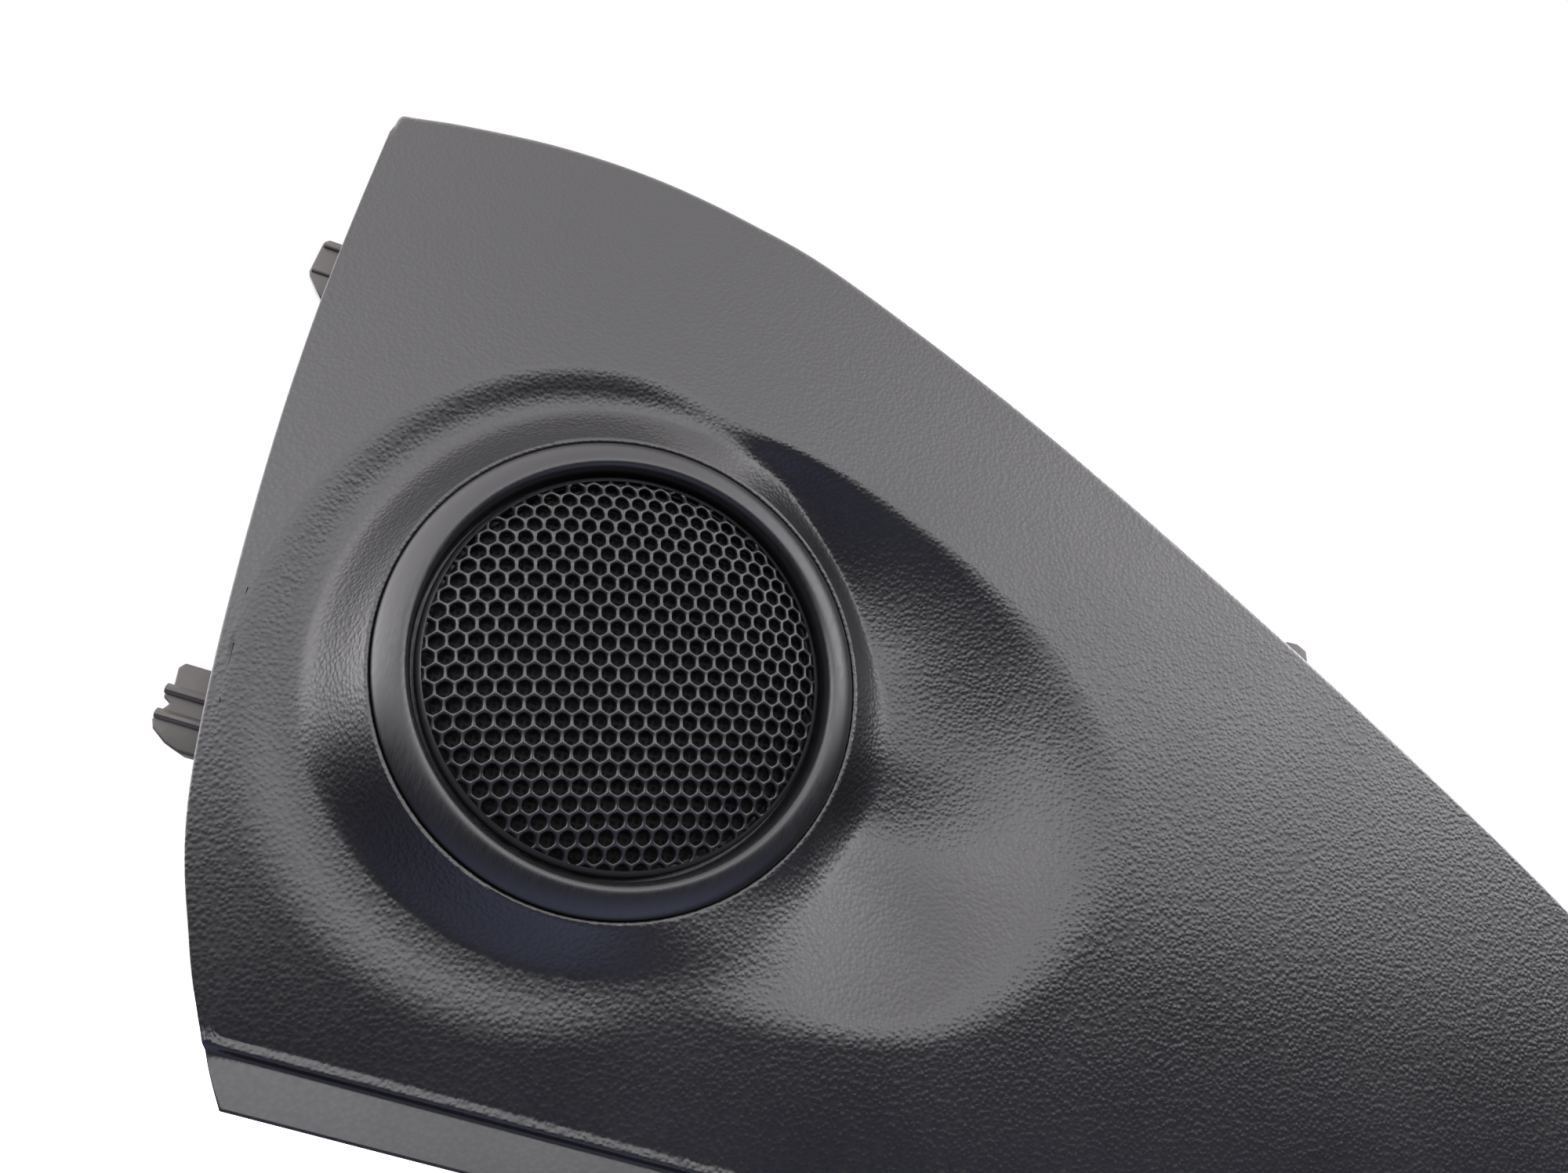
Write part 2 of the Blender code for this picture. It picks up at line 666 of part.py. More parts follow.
def mounting_bracket():
    """A flat ring round the frame's tube, with an ear under each screw post."""
    outline = []
    holes = [circle(FRAME_TUBE_RADIUS + FIT_GAP, 36)]
    ear = POST_RADIUS + 1.6 * MM
    half = math.degrees(math.asin(ear / BRACKET_RADIUS)) + 4.0
    for number, angle in enumerate(POST_ANGLES):
        turn = math.radians(angle)
        centre = Vector((math.cos(turn), math.sin(turn))) * POST_CIRCLE
        for k in range(7):
            swing = turn - math.pi / 2.0 + math.pi * k / 6.0
            outline.append(tuple(centre + Vector((math.cos(swing), math.sin(swing))) * ear))
        gap = (POST_ANGLES[(number + 1) % len(POST_ANGLES)] - angle) % 360.0 - 2.0 * half
        for k in range(7):
            body = math.radians(angle + half + gap * k / 6.0)
            outline.append((BRACKET_RADIUS * math.cos(body), BRACKET_RADIUS * math.sin(body)))
        holes.append(circle(SCREW_SHANK + 0.5 * MM, 12, tuple(centre)))
    obj = plate("mounting_bracket", [outline] + holes, BRACKET_THICKNESS, FRAME_PLASTIC, AXIS)
    obj.location.z = BRACKET_TOP - BRACKET_THICKNESS / 2.0
    return obj


def screw(number, angle):
    """A pan-head screw that passes the bracket and ends inside its post."""
    seat = BRACKET_TOP - BRACKET_THICKNESS - FIT_GAP
    tip = min(post_top(angle) - 1.2 * MM - 0.5 * MM, BRACKET_TOP + 5.0 * MM)
    profile = [(0.0, tip), (SCREW_SHANK * 0.6, tip), (SCREW_SHANK, tip - 0.6 * MM),
               (SCREW_SHANK, seat), (SCREW_HEAD, seat), (SCREW_HEAD, seat - 1.0 * MM),
               (SCREW_HEAD * 0.7, seat - 1.7 * MM), (0.0, seat - 1.8 * MM)]
    obj = turned("bracket_screw_%d" % number, profile, STEEL, AXIS, segments=16)
    turn = math.radians(angle)
    obj.location = (POST_CIRCLE * math.cos(turn), POST_CIRCLE * math.sin(turn), 0.0)
    return obj


# ------------------------------------------------------------ electrical

def socket_top():
    return COVER_BACK - FIT_GAP


def connector_socket():
    top = socket_top()
    obj = box("connector_socket", (-SOCKET_LENGTH / 2.0, -SOCKET_WIDTH / 2.0, top - SOCKET_DEPTH),
              (SOCKET_LENGTH / 2.0, SOCKET_WIDTH / 2.0, top), FRAME_PLASTIC, AXIS)
    inside = Vector((SOCKET_LENGTH / 2.0 - SOCKET_WALL, SOCKET_WIDTH / 2.0 - SOCKET_WALL))
    cutter = box("socket_cavity", (-inside.x, -inside.y, top - SOCKET_DEPTH - 2.0 * MM),
                 (inside.x, inside.y, top - 1.3 * MM), FRAME_PLASTIC, AXIS, CUTTERS)
    cutter.hide_render = True
    cutter.display_type = 'WIRE'
    cut = obj.modifiers.new("cavity", 'BOOLEAN')
    cut.operation = 'DIFFERENCE'
    cut.solver = 'EXACT'
    cut.object = cutter
    return obj


def socket_pin(number, side):
    root = socket_top() - 1.3 * MM - FIT_GAP
    half = PIN_SIZE / 2.0
    x = side * PIN_SPREAD / 2.0
    return box("socket_pin_%d" % number, (x - half, -half, root - 5.4 * MM), (x + half, half, root),
               TIN, AXIS, bevel=0.1 * MM)


def capacitor_place():
    """The capacitor lies beside the rear cover, just behind the bracket."""
    reach = FRAME_TUBE_RADIUS + FIT_GAP + COVER_WALL + 1.2 * MM + CAPACITOR_RADIUS
    return Vector((0.0, -reach, BRACKET_TOP - BRACKET_THICKNESS - 0.7 * MM - CAPACITOR_RADIUS))


def crossover_capacitor():
    half = CAPACITOR_LENGTH / 2.0
    edge = CAPACITOR_RADIUS - 0.6 * MM
    profile = [(0.0, half), (edge, half), (CAPACITOR_RADIUS, half - 0.6 * MM),
               (CAPACITOR_RADIUS, 0.6 * MM - half), (edge, -half), (0.0, -half)]
    obj = turned("crossover_capacitor", profile, FILM_CAP, AXIS, segments=20)
    obj.location = capacitor_place()
    obj.rotation_euler.y = math.radians(90.0)
    return obj


def lead_wires():
    """One lead runs from the capacitor to the socket, the other to the rear cover's side."""
    start = capacitor_place() / MM
    end = start.x + CAPACITOR_LENGTH / (2.0 * MM) + 0.4
    side = -SOCKET_WIDTH / (2.0 * MM)
    low = socket_top() / MM
    wire("lead_to_socket", [(end, start.y, start.z), (end + 2.6, start.y, start.z - 0.7),
                            (end + 5.0, start.y + 1.6, start.z - 4.1), (end + 4.6, side - 15.75, low - 0.65),
                            (end + 2.2, side - 7.75, low - 3.65), (end - 0.4, side - 0.65, low - 4.25)],
         LEAD_RADIUS, INSULATION, AXIS)
    wire("lead_to_coil", [(-end, start.y, start.z), (-end - 2.6, start.y, start.z - 0.5),
                          (-end - 5.2, start.y + 1.8, start.z - 1.7), (-end - 5.0, start.y + 4.7, start.z - 2.3),
                          (-end - 4.5, start.y + 6.4, start.z - 2.5)],
         LEAD_RADIUS, INSULATION, AXIS)


# ---------------------------------------------------- fixings of the trim

def side_clip(name, x_tip, z_low, z_high, reach):
    """A moulded tongue that stands out past the trim's rear edge, with a slanted lower end."""
    length = 15.0 * MM
    slant = 0.34 * (z_high - z_low)
    outline = [(x_tip + 0.4 * MM, z_high), (x_tip + length, z_high), (x_tip + length, z_low),
               (x_tip + reach, z_low), (x_tip, z_low + slant), (x_tip, z_high - 0.8 * MM)]
    thickness = 3.6 * MM
    obj = plate(name, [outline[::-1]], thickness, CLIP_PLASTIC)
    behind = max(trim_depth(x_tip + length, z_low), trim_depth(x_tip + length, z_high))
    depth = behind + SKIRT_DEPTH + 0.8 * MM + thickness / 2.0
    obj.location = (TWEETER_X, TWEETER_Y + depth, TWEETER_Z)
    obj.rotation_euler.x = math.radians(90.0)
    return obj


def locating_hook():
    """A hook behind the sloping edge; only its tip passes the edge."""
    slope = math.radians(-27.5)
    outline = [(-2.0, -9.0), (2.0, -9.0), (2.0, 0.4), (1.0, 1.6), (-2.0, 1.0)]
    obj = plate("locating_hook", [[(x * MM, y * MM) for x, y in outline]], 2.4 * MM, CLIP_PLASTIC)
    x, z = 86.2 * MM, 32.3 * MM
    depth = trim_depth(x, z) + SKIRT_DEPTH + 1.9 * MM + 1.2 * MM
    obj.location = (TWEETER_X + x, TWEETER_Y + depth, TWEETER_Z + z)
    obj.rotation_euler = (math.radians(90.0), -slope, 0.0)
    return obj


def spring_clip(name, x, z):
    """A folded strip over a tower: two flaring legs joined across the tower's end."""
    inner = TOWER_WIDTH / 2.0 + FIT_GAP
    outer = inner + CLIP_STRIP
    end = TOWER_END + FIT_GAP
    cap = end + CLIP_STRIP
    tail = TOWER_END - 7.5 * MM
    flare = 1.6 * MM
    leg = [(cap, outer), (tail + 3.0 * MM, outer + flare), (tail, outer),
           (tail, inner), (tail + 3.0 * MM, inner + flare), (end, inner)]
    outline = leg + [(depth, -side) for depth, side in reversed(leg)]
    obj = plate(name, [outline], TOWER_LENGTH - 3.0 * MM, STEEL)
    obj.location = (TWEETER_X + x, 0.0, TWEETER_Z + z)
    obj.rotation_euler = (math.radians(90.0), 0.0, math.radians(90.0))
    return obj


def felt_strip(name, x, z, length, width):
    """An anti-rattle strip lying against the trim's back."""
    lean = math.atan2(trim_depth(x, z + 1.0 * MM) - trim_depth(x, z - 1.0 * MM), 2.0 * MM)
    bow = max(trim_depth(x + s * length / 2.0, z) for s in (-1.0, 1.0))
    depth = max(bow, trim_depth(x, z)) + PANEL_WALL / math.cos(lean) + 0.7 * MM
    obj = box(name, (-length / 2.0, 0.0, -width / 2.0), (length / 2.0, FELT_THICKNESS, width / 2.0),
              FELT)
    obj.location = (TWEETER_X + x, TWEETER_Y + depth, TWEETER_Z + z)
    obj.rotation_euler.x = -lean
    return obj


def build():
    trim_panel()
    bezel_ring()
    grille_mesh()
    acoustic_cloth()
    foam_gasket()
    tweeter_frame()
    dome_diaphragm()
    surround_roll()
    coil_former()
    voice_coil()
    top_plate()
    ring_magnet()
    pole_yoke()
    damping_pad()
    rear_cover()
    rear_absorber()
    mounting_bracket()
    for number, angle in enumerate(POST_ANGLES):
        screw(number + 1, angle)
    connector_socket()
    socket_pin(1, -1.0)
    socket_pin(2, 1.0)
    crossover_capacitor()
    lead_wires()
    side_clip("side_clip_lower", -46.8 * MM, -21.7 * MM, -12.4 * MM, 4.2 * MM)
    side_clip("side_clip_upper", -53.0 * MM, 35.8 * MM, 44.1 * MM, 2.6 * MM)
    locating_hook()
    spring_clip("spring_clip_front", *FRONT_TOWER)
    spring_clip("spring_clip_upper", *UPPER_TOWER)
    felt_strip("felt_strip_lower", 40.0 * MM, -40.0 * MM, 44.0 * MM, 5.0 * MM)
    felt_strip("felt_strip_upper", 46.0 * MM, 37.5 * MM, 26.0 * MM, 5.0 * MM)


build()
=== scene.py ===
# %% [markdown]
# # A car tweeter in its mirror-corner trim
# The object is the triangular plastic trim at the front corner of a left front door. A dome tweeter sits
# behind it, under a hexagonal mesh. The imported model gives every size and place, so the script starts by
# loading it and then builds each visible piece again with the detail that a plain solid lacks.

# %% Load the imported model
import json
import math
from bisect import bisect

import bmesh
import bpy
from mathutils import Matrix, Vector


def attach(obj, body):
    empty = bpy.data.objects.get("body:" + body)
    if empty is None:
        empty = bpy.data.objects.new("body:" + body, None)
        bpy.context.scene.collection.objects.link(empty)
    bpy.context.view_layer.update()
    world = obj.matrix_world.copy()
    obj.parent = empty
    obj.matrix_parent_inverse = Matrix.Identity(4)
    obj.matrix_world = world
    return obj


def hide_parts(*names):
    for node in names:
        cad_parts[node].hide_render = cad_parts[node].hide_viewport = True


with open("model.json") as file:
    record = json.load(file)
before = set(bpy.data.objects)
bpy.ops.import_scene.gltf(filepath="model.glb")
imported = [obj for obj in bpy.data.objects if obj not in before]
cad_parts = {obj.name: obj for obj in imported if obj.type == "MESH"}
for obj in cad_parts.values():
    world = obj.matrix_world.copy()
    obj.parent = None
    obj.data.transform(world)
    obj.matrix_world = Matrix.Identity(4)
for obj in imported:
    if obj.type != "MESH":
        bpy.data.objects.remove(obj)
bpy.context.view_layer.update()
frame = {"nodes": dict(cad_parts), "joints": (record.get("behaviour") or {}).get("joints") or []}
MM = 0.001
HOUSING = "trim_assembly"
DIAPHRAGM = "diaphragm"
print("nodes:", len(frame["nodes"]))

# %% [markdown]
# ## Two frames of reference
# The trim faces -Y, with +X to the front of the car. The tweeter is aimed a little forward of that, so its
# round pieces are easiest to draw about their own axis: local +Z leaves the mesh, +X runs forward and +Y
# runs up. One matrix carries a finished mesh from the local frame to its place. The sliding joint's axis is
# the tweeter's axis, so it is read from the joint.

# %% The tweeter's own frame
TWEETER = Vector((-60.0, -20.0, 10.0)) * MM
OUT = Vector(frame["joints"][0]["axis"]).normalized()
UP = (Vector((0.0, 0.0, 1.0)) - OUT * OUT.z).normalized()
ALONG = UP.cross(OUT)
AXIS = Matrix.Translation(TWEETER) @ Matrix((ALONG, UP, OUT)).transposed().to_4x4()
TILT_X = -OUT.x / OUT.y
TILT_Z = -OUT.z / OUT.y
print("the tweeter is aimed %.1f degrees forward" % math.degrees(math.atan(TILT_X)))

# %% [markdown]
# ## Small helpers
# `turned` spins a profile, which is the natural way to make anything from a lathe or a round mould.

# %% Helpers that make and settle pieces
def settle(name, bm, look, replaces=(), body=HOUSING, sharp=35.0):
    """Turn a bmesh into a finished piece at the origin that rides on a body."""
    mesh = bpy.data.meshes.new(name)
    bm.to_mesh(mesh)
    bm.free()
    mesh.materials.append(look)
    mesh.shade_smooth()
    mesh.set_sharp_from_angle(angle=math.radians(sharp))
    obj = bpy.data.objects.new(name, mesh)
    bpy.context.scene.collection.objects.link(obj)
    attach(obj, body)
    if replaces:
        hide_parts(*replaces)
    print("%-22s %6d faces" % (name, len(mesh.polygons)))
    return obj


def outward(bm):
    bmesh.ops.remove_doubles(bm, verts=bm.verts, dist=1e-7)
    bmesh.ops.recalc_face_normals(bm, faces=bm.faces)
    return bm


def turned(profile, steps=128, closed=False, into=None):
    """Spin (radius, height) pairs, in millimetres, about the local Z axis."""
    bm = into or bmesh.new()
    verts = [bm.verts.new((r * MM, 0.0, h * MM)) for r, h in profile]
    edges = [bm.edges.new(pair) for pair in zip(verts, verts[1:])]
    if closed:
        edges.append(bm.edges.new((verts[-1], verts[0])))
    bmesh.ops.spin(bm, geom=verts + edges, cent=(0, 0, 0), axis=(0, 0, 1), dvec=(0, 0, 0),
                   angle=2.0 * math.pi, steps=steps, use_merge=True)
    return outward(bm)


def on_axis(bm, offset=(0.0, 0.0, 0.0), turn=0.0):
    """Carry a locally drawn mesh to the tweeter, shifted in millimetres and turned about the axis."""
    place = AXIS @ Matrix.Rotation(turn, 4, 'Z') @ Matrix.Translation(Vector(offset) * MM)
    bmesh.ops.transform(bm, matrix=place, verts=bm.verts)
    return bm


def block(low, high, bevel=0.0, segments=3, into=None):
    """A box between two corners in millimetres, with rounded edges."""
    bm = into or bmesh.new()
    low, high = Vector(low) * MM, Vector(high) * MM
    made = bmesh.ops.create_cube(bm, size=1.0)["verts"]
    bmesh.ops.scale(bm, vec=high - low, verts=made)
    bmesh.ops.translate(bm, vec=(low + high) / 2.0, verts=made)
    if bevel:
        edges = list({edge for vert in made for edge in vert.link_edges})
        bmesh.ops.bevel(bm, geom=edges, offset=bevel * MM, offset_type='OFFSET', segments=segments,
                        profile=0.5, affect='EDGES', material=-1)
    return bm


def slab(outline, bottom, top, bevel=0.0, segments=2, into=None):
    """Extrude a flat outline, in millimetres, from one height to another, with rounded edges."""
    bm = into or bmesh.new()
    face = bm.faces.new([bm.verts.new((x * MM, y * MM, bottom * MM)) for x, y in outline])
    if face.normal.z > 0.0 or face.calc_area() == 0.0:
        face.normal_flip()
    raised = bmesh.ops.extrude_face_region(bm, geom=[face])["geom"]
    lifted = [item for item in raised if isinstance(item, bmesh.types.BMVert)]
    bmesh.ops.translate(bm, vec=(0.0, 0.0, (top - bottom) * MM), verts=lifted)
    bmesh.ops.recalc_face_normals(bm, faces=bm.faces)
    if bevel:
        rims = [edge for edge in bm.edges if edge.is_valid and len(edge.link_faces) == 2
                and edge.calc_face_angle(0.0) > math.radians(50.0)]
        bmesh.ops.bevel(bm, geom=rims, offset=bevel * MM, offset_type='OFFSET', segments=segments,
                        profile=0.5, affect='EDGES', material=-1, clamp_overlap=True)
    return bm


def smooth(t):
    t = min(max(t, 0.0), 1.0)
    return t * t * (3.0 - 2.0 * t)


# %% [markdown]
# ## Finishes
# Nearly everything here is dark moulded plastic, so the finishes differ in their surface more than in their
# colour. The trim has a leather-like grain: rounded pebbles a little over half a millimetre across. A smooth
# Voronoi pattern makes the pebbles and a noise breaks them up. Both feed a Bump node and vary the
# roughness, because real grain catches the light on its tops and swallows it in its valleys.

# %% Node helpers
def plain(name, colour, roughness, metallic=0.0, **sockets):
    """A Principled material whose constant values sit on the shader's own sockets."""
    look = bpy.data.materials.new(name)
    look.use_nodes = True
    shader = look.node_tree.nodes["Principled BSDF"]
    shader.inputs["Base Color"].default_value = (*colour, 1.0)
    shader.inputs["Roughness"].default_value = roughness
    shader.inputs["Metallic"].default_value = metallic
    for socket, value in sockets.items():
        shader.inputs[socket.replace("_", " ")].default_value = value
    return look


def node(look, kind, **settings):
    made = look.node_tree.nodes.new(kind)
    for name, value in settings.items():
        if name in made.inputs:
            made.inputs[name].default_value = value
        else:
            setattr(made, name, value)
    return made


def join(look, source, target):
    look.node_tree.links.new(source, target)


def place_of(look):
    return node(look, "ShaderNodeTexCoord").outputs["Object"]


def noise_of(look, scale, detail=3.0, rough=0.5):
    made = node(look, "ShaderNodeTexNoise", Scale=scale, Detail=detail, Roughness=rough)
    join(look, place_of(look), made.inputs["Vector"])
    return made.outputs["Fac"]


def maths(look, operation, first, second, third=None):
    made = node(look, "ShaderNodeMath", operation=operation)
    for socket, value in zip(made.inputs, (first, second, third)):
        if isinstance(value, (int, float)):
            socket.default_value = value
        elif value is not None:
            join(look, value, socket)
    return made.outputs[0]


def ranged(look, value, low, high, to_low, to_high):
    made = node(look, "ShaderNodeMapRange")
    made.inputs["From Min"].default_value = low
    made.inputs["From Max"].default_value = high
    made.inputs["To Min"].default_value = to_low
    made.inputs["To Max"].default_value = to_high
    join(look, value, made.inputs["Value"])
    return made.outputs["Result"]


def shader_of(look):
    return look.node_tree.nodes["Principled BSDF"]


def bump(look, height, distance, strength=1.0):
    made = node(look, "ShaderNodeBump", Distance=distance * MM, Strength=strength)
    join(look, height, made.inputs["Height"])
    join(look, made.outputs["Normal"], shader_of(look).inputs["Normal"])


def blotch(look, low, high, scale, detail=3.0):
    """Vary the base colour between two near tones."""
    mix = node(look, "ShaderNodeMix", data_type='RGBA')
    mix.inputs["A"].default_value = (*low, 1.0)
    mix.inputs["B"].default_value = (*high, 1.0)
    join(look, noise_of(look, scale, detail), mix.inputs["Factor"])
    join(look, mix.outputs["Result"], shader_of(look).inputs["Base Color"])
    return mix


print("node helpers ready")

# %% [markdown]
# The grain stops at the ridge: the flange under it is smoother, from a polished part of the mould. The
# ridge is a straight line at one height, so the height of a point says which side it is on.

# %% The grained trim
RIDGE_LINE = TWEETER.z - 48.0 * MM


def grained_trim():
    look = plain("grained_trim", (0.005, 0.005, 0.006), 0.4, Specular_IOR_Level=0.72)
    spot = place_of(look)
    cells = node(look, "ShaderNodeTexVoronoi", feature='SMOOTH_F1', Scale=1900.0, Smoothness=0.4)
    join(look, spot, cells.inputs["Vector"])
    pebbles = ranged(look, cells.outputs["Distance"], 0.1, 0.75, 1.0, 0.0)
    fine = noise_of(look, 2600.0, 2.0)
    broad = noise_of(look, 420.0, 3.0)
    height = maths(look, 'MULTIPLY_ADD', fine, 0.45, pebbles)
    height = maths(look, 'MULTIPLY_ADD', broad, 0.6, height)
    split = node(look, "ShaderNodeSeparateXYZ")
    join(look, spot, split.inputs[0])
    grained = ranged(look, split.outputs["Z"], RIDGE_LINE - 0.4 * MM, RIDGE_LINE + 0.3 * MM, 0.12, 1.0)
    height = maths(look, 'MULTIPLY', height, grained)
    height = maths(look, 'MULTIPLY', height,
                   ranged(look, split.outputs["X"], TWEETER.x - 30.0 * MM, TWEETER.x + 50.0 * MM, 0.6, 1.0))
    bump(look, height, 0.05, 1.0)
    worn = ranged(look, noise_of(look, 60.0, 4.0), 0.3, 0.7, 0.36, 0.42)
    shine = maths(look, 'MULTIPLY_ADD', pebbles, -0.08, worn)
    join(look, shine, shader_of(look).inputs["Roughness"])
    blotch(look, (0.0042, 0.0041, 0.0047), (0.0062, 0.0060, 0.0066), 300.0)
    return look


GRAINED = grained_trim()
print("made", GRAINED.name)

# %% [markdown]
# The bezel is the same plastic from a polished mould: satin, with hair-fine scratches. Long thin noise along
# the ring would need its own coordinates, and a stretched noise in three directions reads just as well at
# this size.

# %% Satin, clip and mesh plastics
def satin_trim():
    look = plain("satin_trim", (0.006, 0.006, 0.007), 0.36, Specular_IOR_Level=0.65)
    scratches = node(look, "ShaderNodeTexNoise", Scale=1.0, Detail=4.0, Roughness=0.6)
    mapping = node(look, "ShaderNodeMapping")
    mapping.inputs["Scale"].default_value = (5200.0, 900.0, 700.0)
    mapping.inputs["Rotation"].default_value = (0.0, 0.4, 0.6)
    join(look, place_of(look), mapping.inputs["Vector"])
    join(look, mapping.outputs["Vector"], scratches.inputs["Vector"])
    bump(look, maths(look, 'MULTIPLY_ADD', noise_of(look, 3200.0), 0.5, scratches.outputs["Fac"]),
         0.012, 0.6)
    join(look, ranged(look, scratches.outputs["Fac"], 0.35, 0.65, 0.30, 0.42),
         shader_of(look).inputs["Roughness"])
    blotch(look, (0.0054, 0.0054, 0.0062), (0.0074, 0.0074, 0.0082), 500.0)
    return look


def clip_plastic():
    look = plain("clip_plastic", (0.050, 0.045, 0.040), 0.45)
    bump(look, noise_of(look, 1500.0, 4.0), 0.03, 0.5)
    join(look, ranged(look, noise_of(look, 250.0), 0.3, 0.7, 0.38, 0.52),
         shader_of(look).inputs["Roughness"])
    blotch(look, (0.044, 0.040, 0.036), (0.060, 0.054, 0.047), 180.0)
    return look


def grille_plastic():
    look = plain("grille_plastic", (0.012, 0.012, 0.013), 0.33, Specular_IOR_Level=0.6)
    bump(look, noise_of(look, 4200.0, 2.0), 0.01, 0.5)
    join(look, ranged(look, noise_of(look, 700.0), 0.3, 0.7, 0.27, 0.40),
         shader_of(look).inputs["Roughness"])
    blotch(look, (0.011, 0.011, 0.012), (0.015, 0.015, 0.0165), 900.0)
    return look


SATIN = satin_trim()
CLIP = clip_plastic()
GRILLE = grille_plastic()
print("made", SATIN.name, CLIP.name, GRILLE.name)

# %% [markdown]
# The pieces behind the trim are seen from the back: glass-filled plastic, plated steel, felt, foam and a
# wrapped film capacitor. Each gets its own noise scale, since felt is fibrous, foam is pitted and plated
# steel is almost smooth.

# %% Finishes of the drive unit and the small pieces
def textured(name, low, high, roughness, grain, depth, metallic=0.0, **sockets):
    """A material with two near tones, a bump of one grain and a varied roughness."""
    look = plain(name, low, roughness, metallic, **sockets)
    blotch(look, low, high, grain * 0.25)
    bump(look, noise_of(look, grain, 4.0, 0.6), depth, 0.8)
    join(look, ranged(look, noise_of(look, grain * 0.5), 0.3, 0.7, roughness - 0.06, roughness + 0.06),
         shader_of(look).inputs["Roughness"])
    return look


def open_cloth():
    """A fine weave that lets a little light through to the dome."""
    look = plain("acoustic_cloth", (0.010, 0.010, 0.010), 0.9)
    threads = []
    for rotation in (0.0, math.pi / 2.0):
        wave = node(look, "ShaderNodeTexWave", Scale=420.0, Distortion=0.3)
        mapping = node(look, "ShaderNodeMapping")
        mapping.inputs["Rotation"].default_value = (0.0, rotation, 0.3)
        join(look, place_of(look), mapping.inputs["Vector"])
        join(look, mapping.outputs["Vector"], wave.inputs["Vector"])
        threads.append(wave.outputs["Fac"])
    weave = maths(look, 'MAXIMUM', threads[0], threads[1])
    bump(look, weave, 0.05, 0.8)
    join(look, ranged(look, weave, 0.5, 0.8, 0.25, 0.85), shader_of(look).inputs["Alpha"])
    return look


CLOTH = open_cloth()
FOAM = textured("black_foam", (0.012, 0.012, 0.013), (0.02, 0.02, 0.021), 0.9, 1800.0, 0.12)
MOULDED = textured("frame_plastic", (0.018, 0.018, 0.019), (0.026, 0.026, 0.027), 0.5, 1600.0, 0.03)
SILK = textured("coated_silk", (0.020, 0.020, 0.024), (0.03, 0.03, 0.034), 0.42, 2600.0, 0.02)
FILM = textured("former_film", (0.50, 0.24, 0.07), (0.58, 0.30, 0.10), 0.3, 900.0, 0.01)
COPPER = textured("coil_wire", (0.72, 0.30, 0.13), (0.85, 0.38, 0.18), 0.32, 3000.0, 0.02, 1.0)
STEEL = textured("plated_steel", (0.50, 0.50, 0.47), (0.62, 0.61, 0.57), 0.32, 1200.0, 0.01, 1.0)
FERRITE = textured("ferrite", (0.05, 0.05, 0.052), (0.075, 0.075, 0.078), 0.6, 1500.0, 0.04)
FELT = textured("grey_felt", (0.10, 0.10, 0.105), (0.19, 0.19, 0.20), 0.95, 1400.0, 0.25,
                Sheen_Weight=0.3)
TIN = textured("tinned_pin", (0.66, 0.65, 0.60), (0.76, 0.75, 0.70), 0.25, 1500.0, 0.01, 1.0)
FILM_CAP = textured("capacitor_film", (0.40, 0.27, 0.03), (0.50, 0.36, 0.06), 0.3, 500.0, 0.02)
RED_LEAD = textured("lead_insulation", (0.30, 0.012, 0.012), (0.38, 0.02, 0.018), 0.42, 1200.0, 0.02)
print("made", len(bpy.data.materials), "materials")

# %% [markdown]
# ## The trim's surface
# The visible face is one smooth field of depth: a shallow crown, with a dish let into it around the tweeter,
# a scoop that widens the dish towards the front, and a conical flank that climbs from the dish to the bezel.
# A formula is the best tool, because the front, the back and every rib can then be read from it. x and z
# are millimetres from the tweeter's centre, and depth grows away from the viewer.

# %% The depth of the trim at any point
BEZEL_RADIUS = 27.5
LIP_GAP = 0.07
LIP_SHOULDER = 0.5
WALL = 2.2
RIDGE = -46.9
FLANGE = -53.4
NOSE = 167.0

# angle, radius of the dish's rim, depth of its floor, width of the rounding at the rim
DISH = [(-150.0, 43.0, 1.5, 5.0), (-120.0, 43.2, 1.4, 5.0), (-90.0, 41.5, 0.9, 5.0), (-65.0, 39.0, 0.2, 4.0),
        (-48.0, 45.0, 1.5, 5.0), (-30.0, 56.0, 4.8, 6.0), (-14.0, 61.5, 8.2, 12.0), (3.0, 62.0, 7.2, 12.0),
        (17.0, 55.8, 7.0, 6.0), (30.0, 48.5, 7.2, 3.0), (45.0, 42.0, 6.4, 2.0), (60.0, 38.4, 4.4, 1.8),
        (74.0, 36.4, 2.1, 2.0), (86.0, 36.2, 0.7, 2.4), (110.0, 39.6, 1.6, 3.0), (140.0, 41.3, 1.6, 3.5),
        (180.0, 41.6, 1.4, 4.0)]


def catmull(points, steps):
    """A smooth curve through the points, with equal steps in each span."""
    result = []
    for i in range(len(points) - 1):
        before, start = points[max(i - 1, 0)], points[i]
        end, after = points[i + 1], points[min(i + 2, len(points) - 1)]
        for k in range(steps):
            t = k / steps
            result.append(0.5 * (2.0 * start + (end - before) * t
                                 + (2.0 * before - 5.0 * start + 4.0 * end - after) * t ** 2
                                 + (3.0 * start - before - 3.0 * end + after) * t ** 3))
    result.append(points[-1])
    return result


def dish_curve():
    """The dish's sizes for a full turn, drawn smoothly through the chosen angles."""
    turn = Vector((360.0, 0.0, 0.0, 0.0))
    keys = [Vector(key) for key in DISH]
    return catmull([key - turn for key in keys[-3:]] + keys + [key + turn for key in keys[:3]], 12)


DISH_CURVE = dish_curve()
DISH_ANGLES = [key.x for key in DISH_CURVE]


def dish_at(angle):
    """Rim radius, floor depth and rim rounding at an angle."""
    i = bisect(DISH_ANGLES, angle)
    low, high = DISH_CURVE[i - 1], DISH_CURVE[i]
    found = low.lerp(high, (angle - low.x) / (high.x - low.x))
    return found.y, found.z, found.w


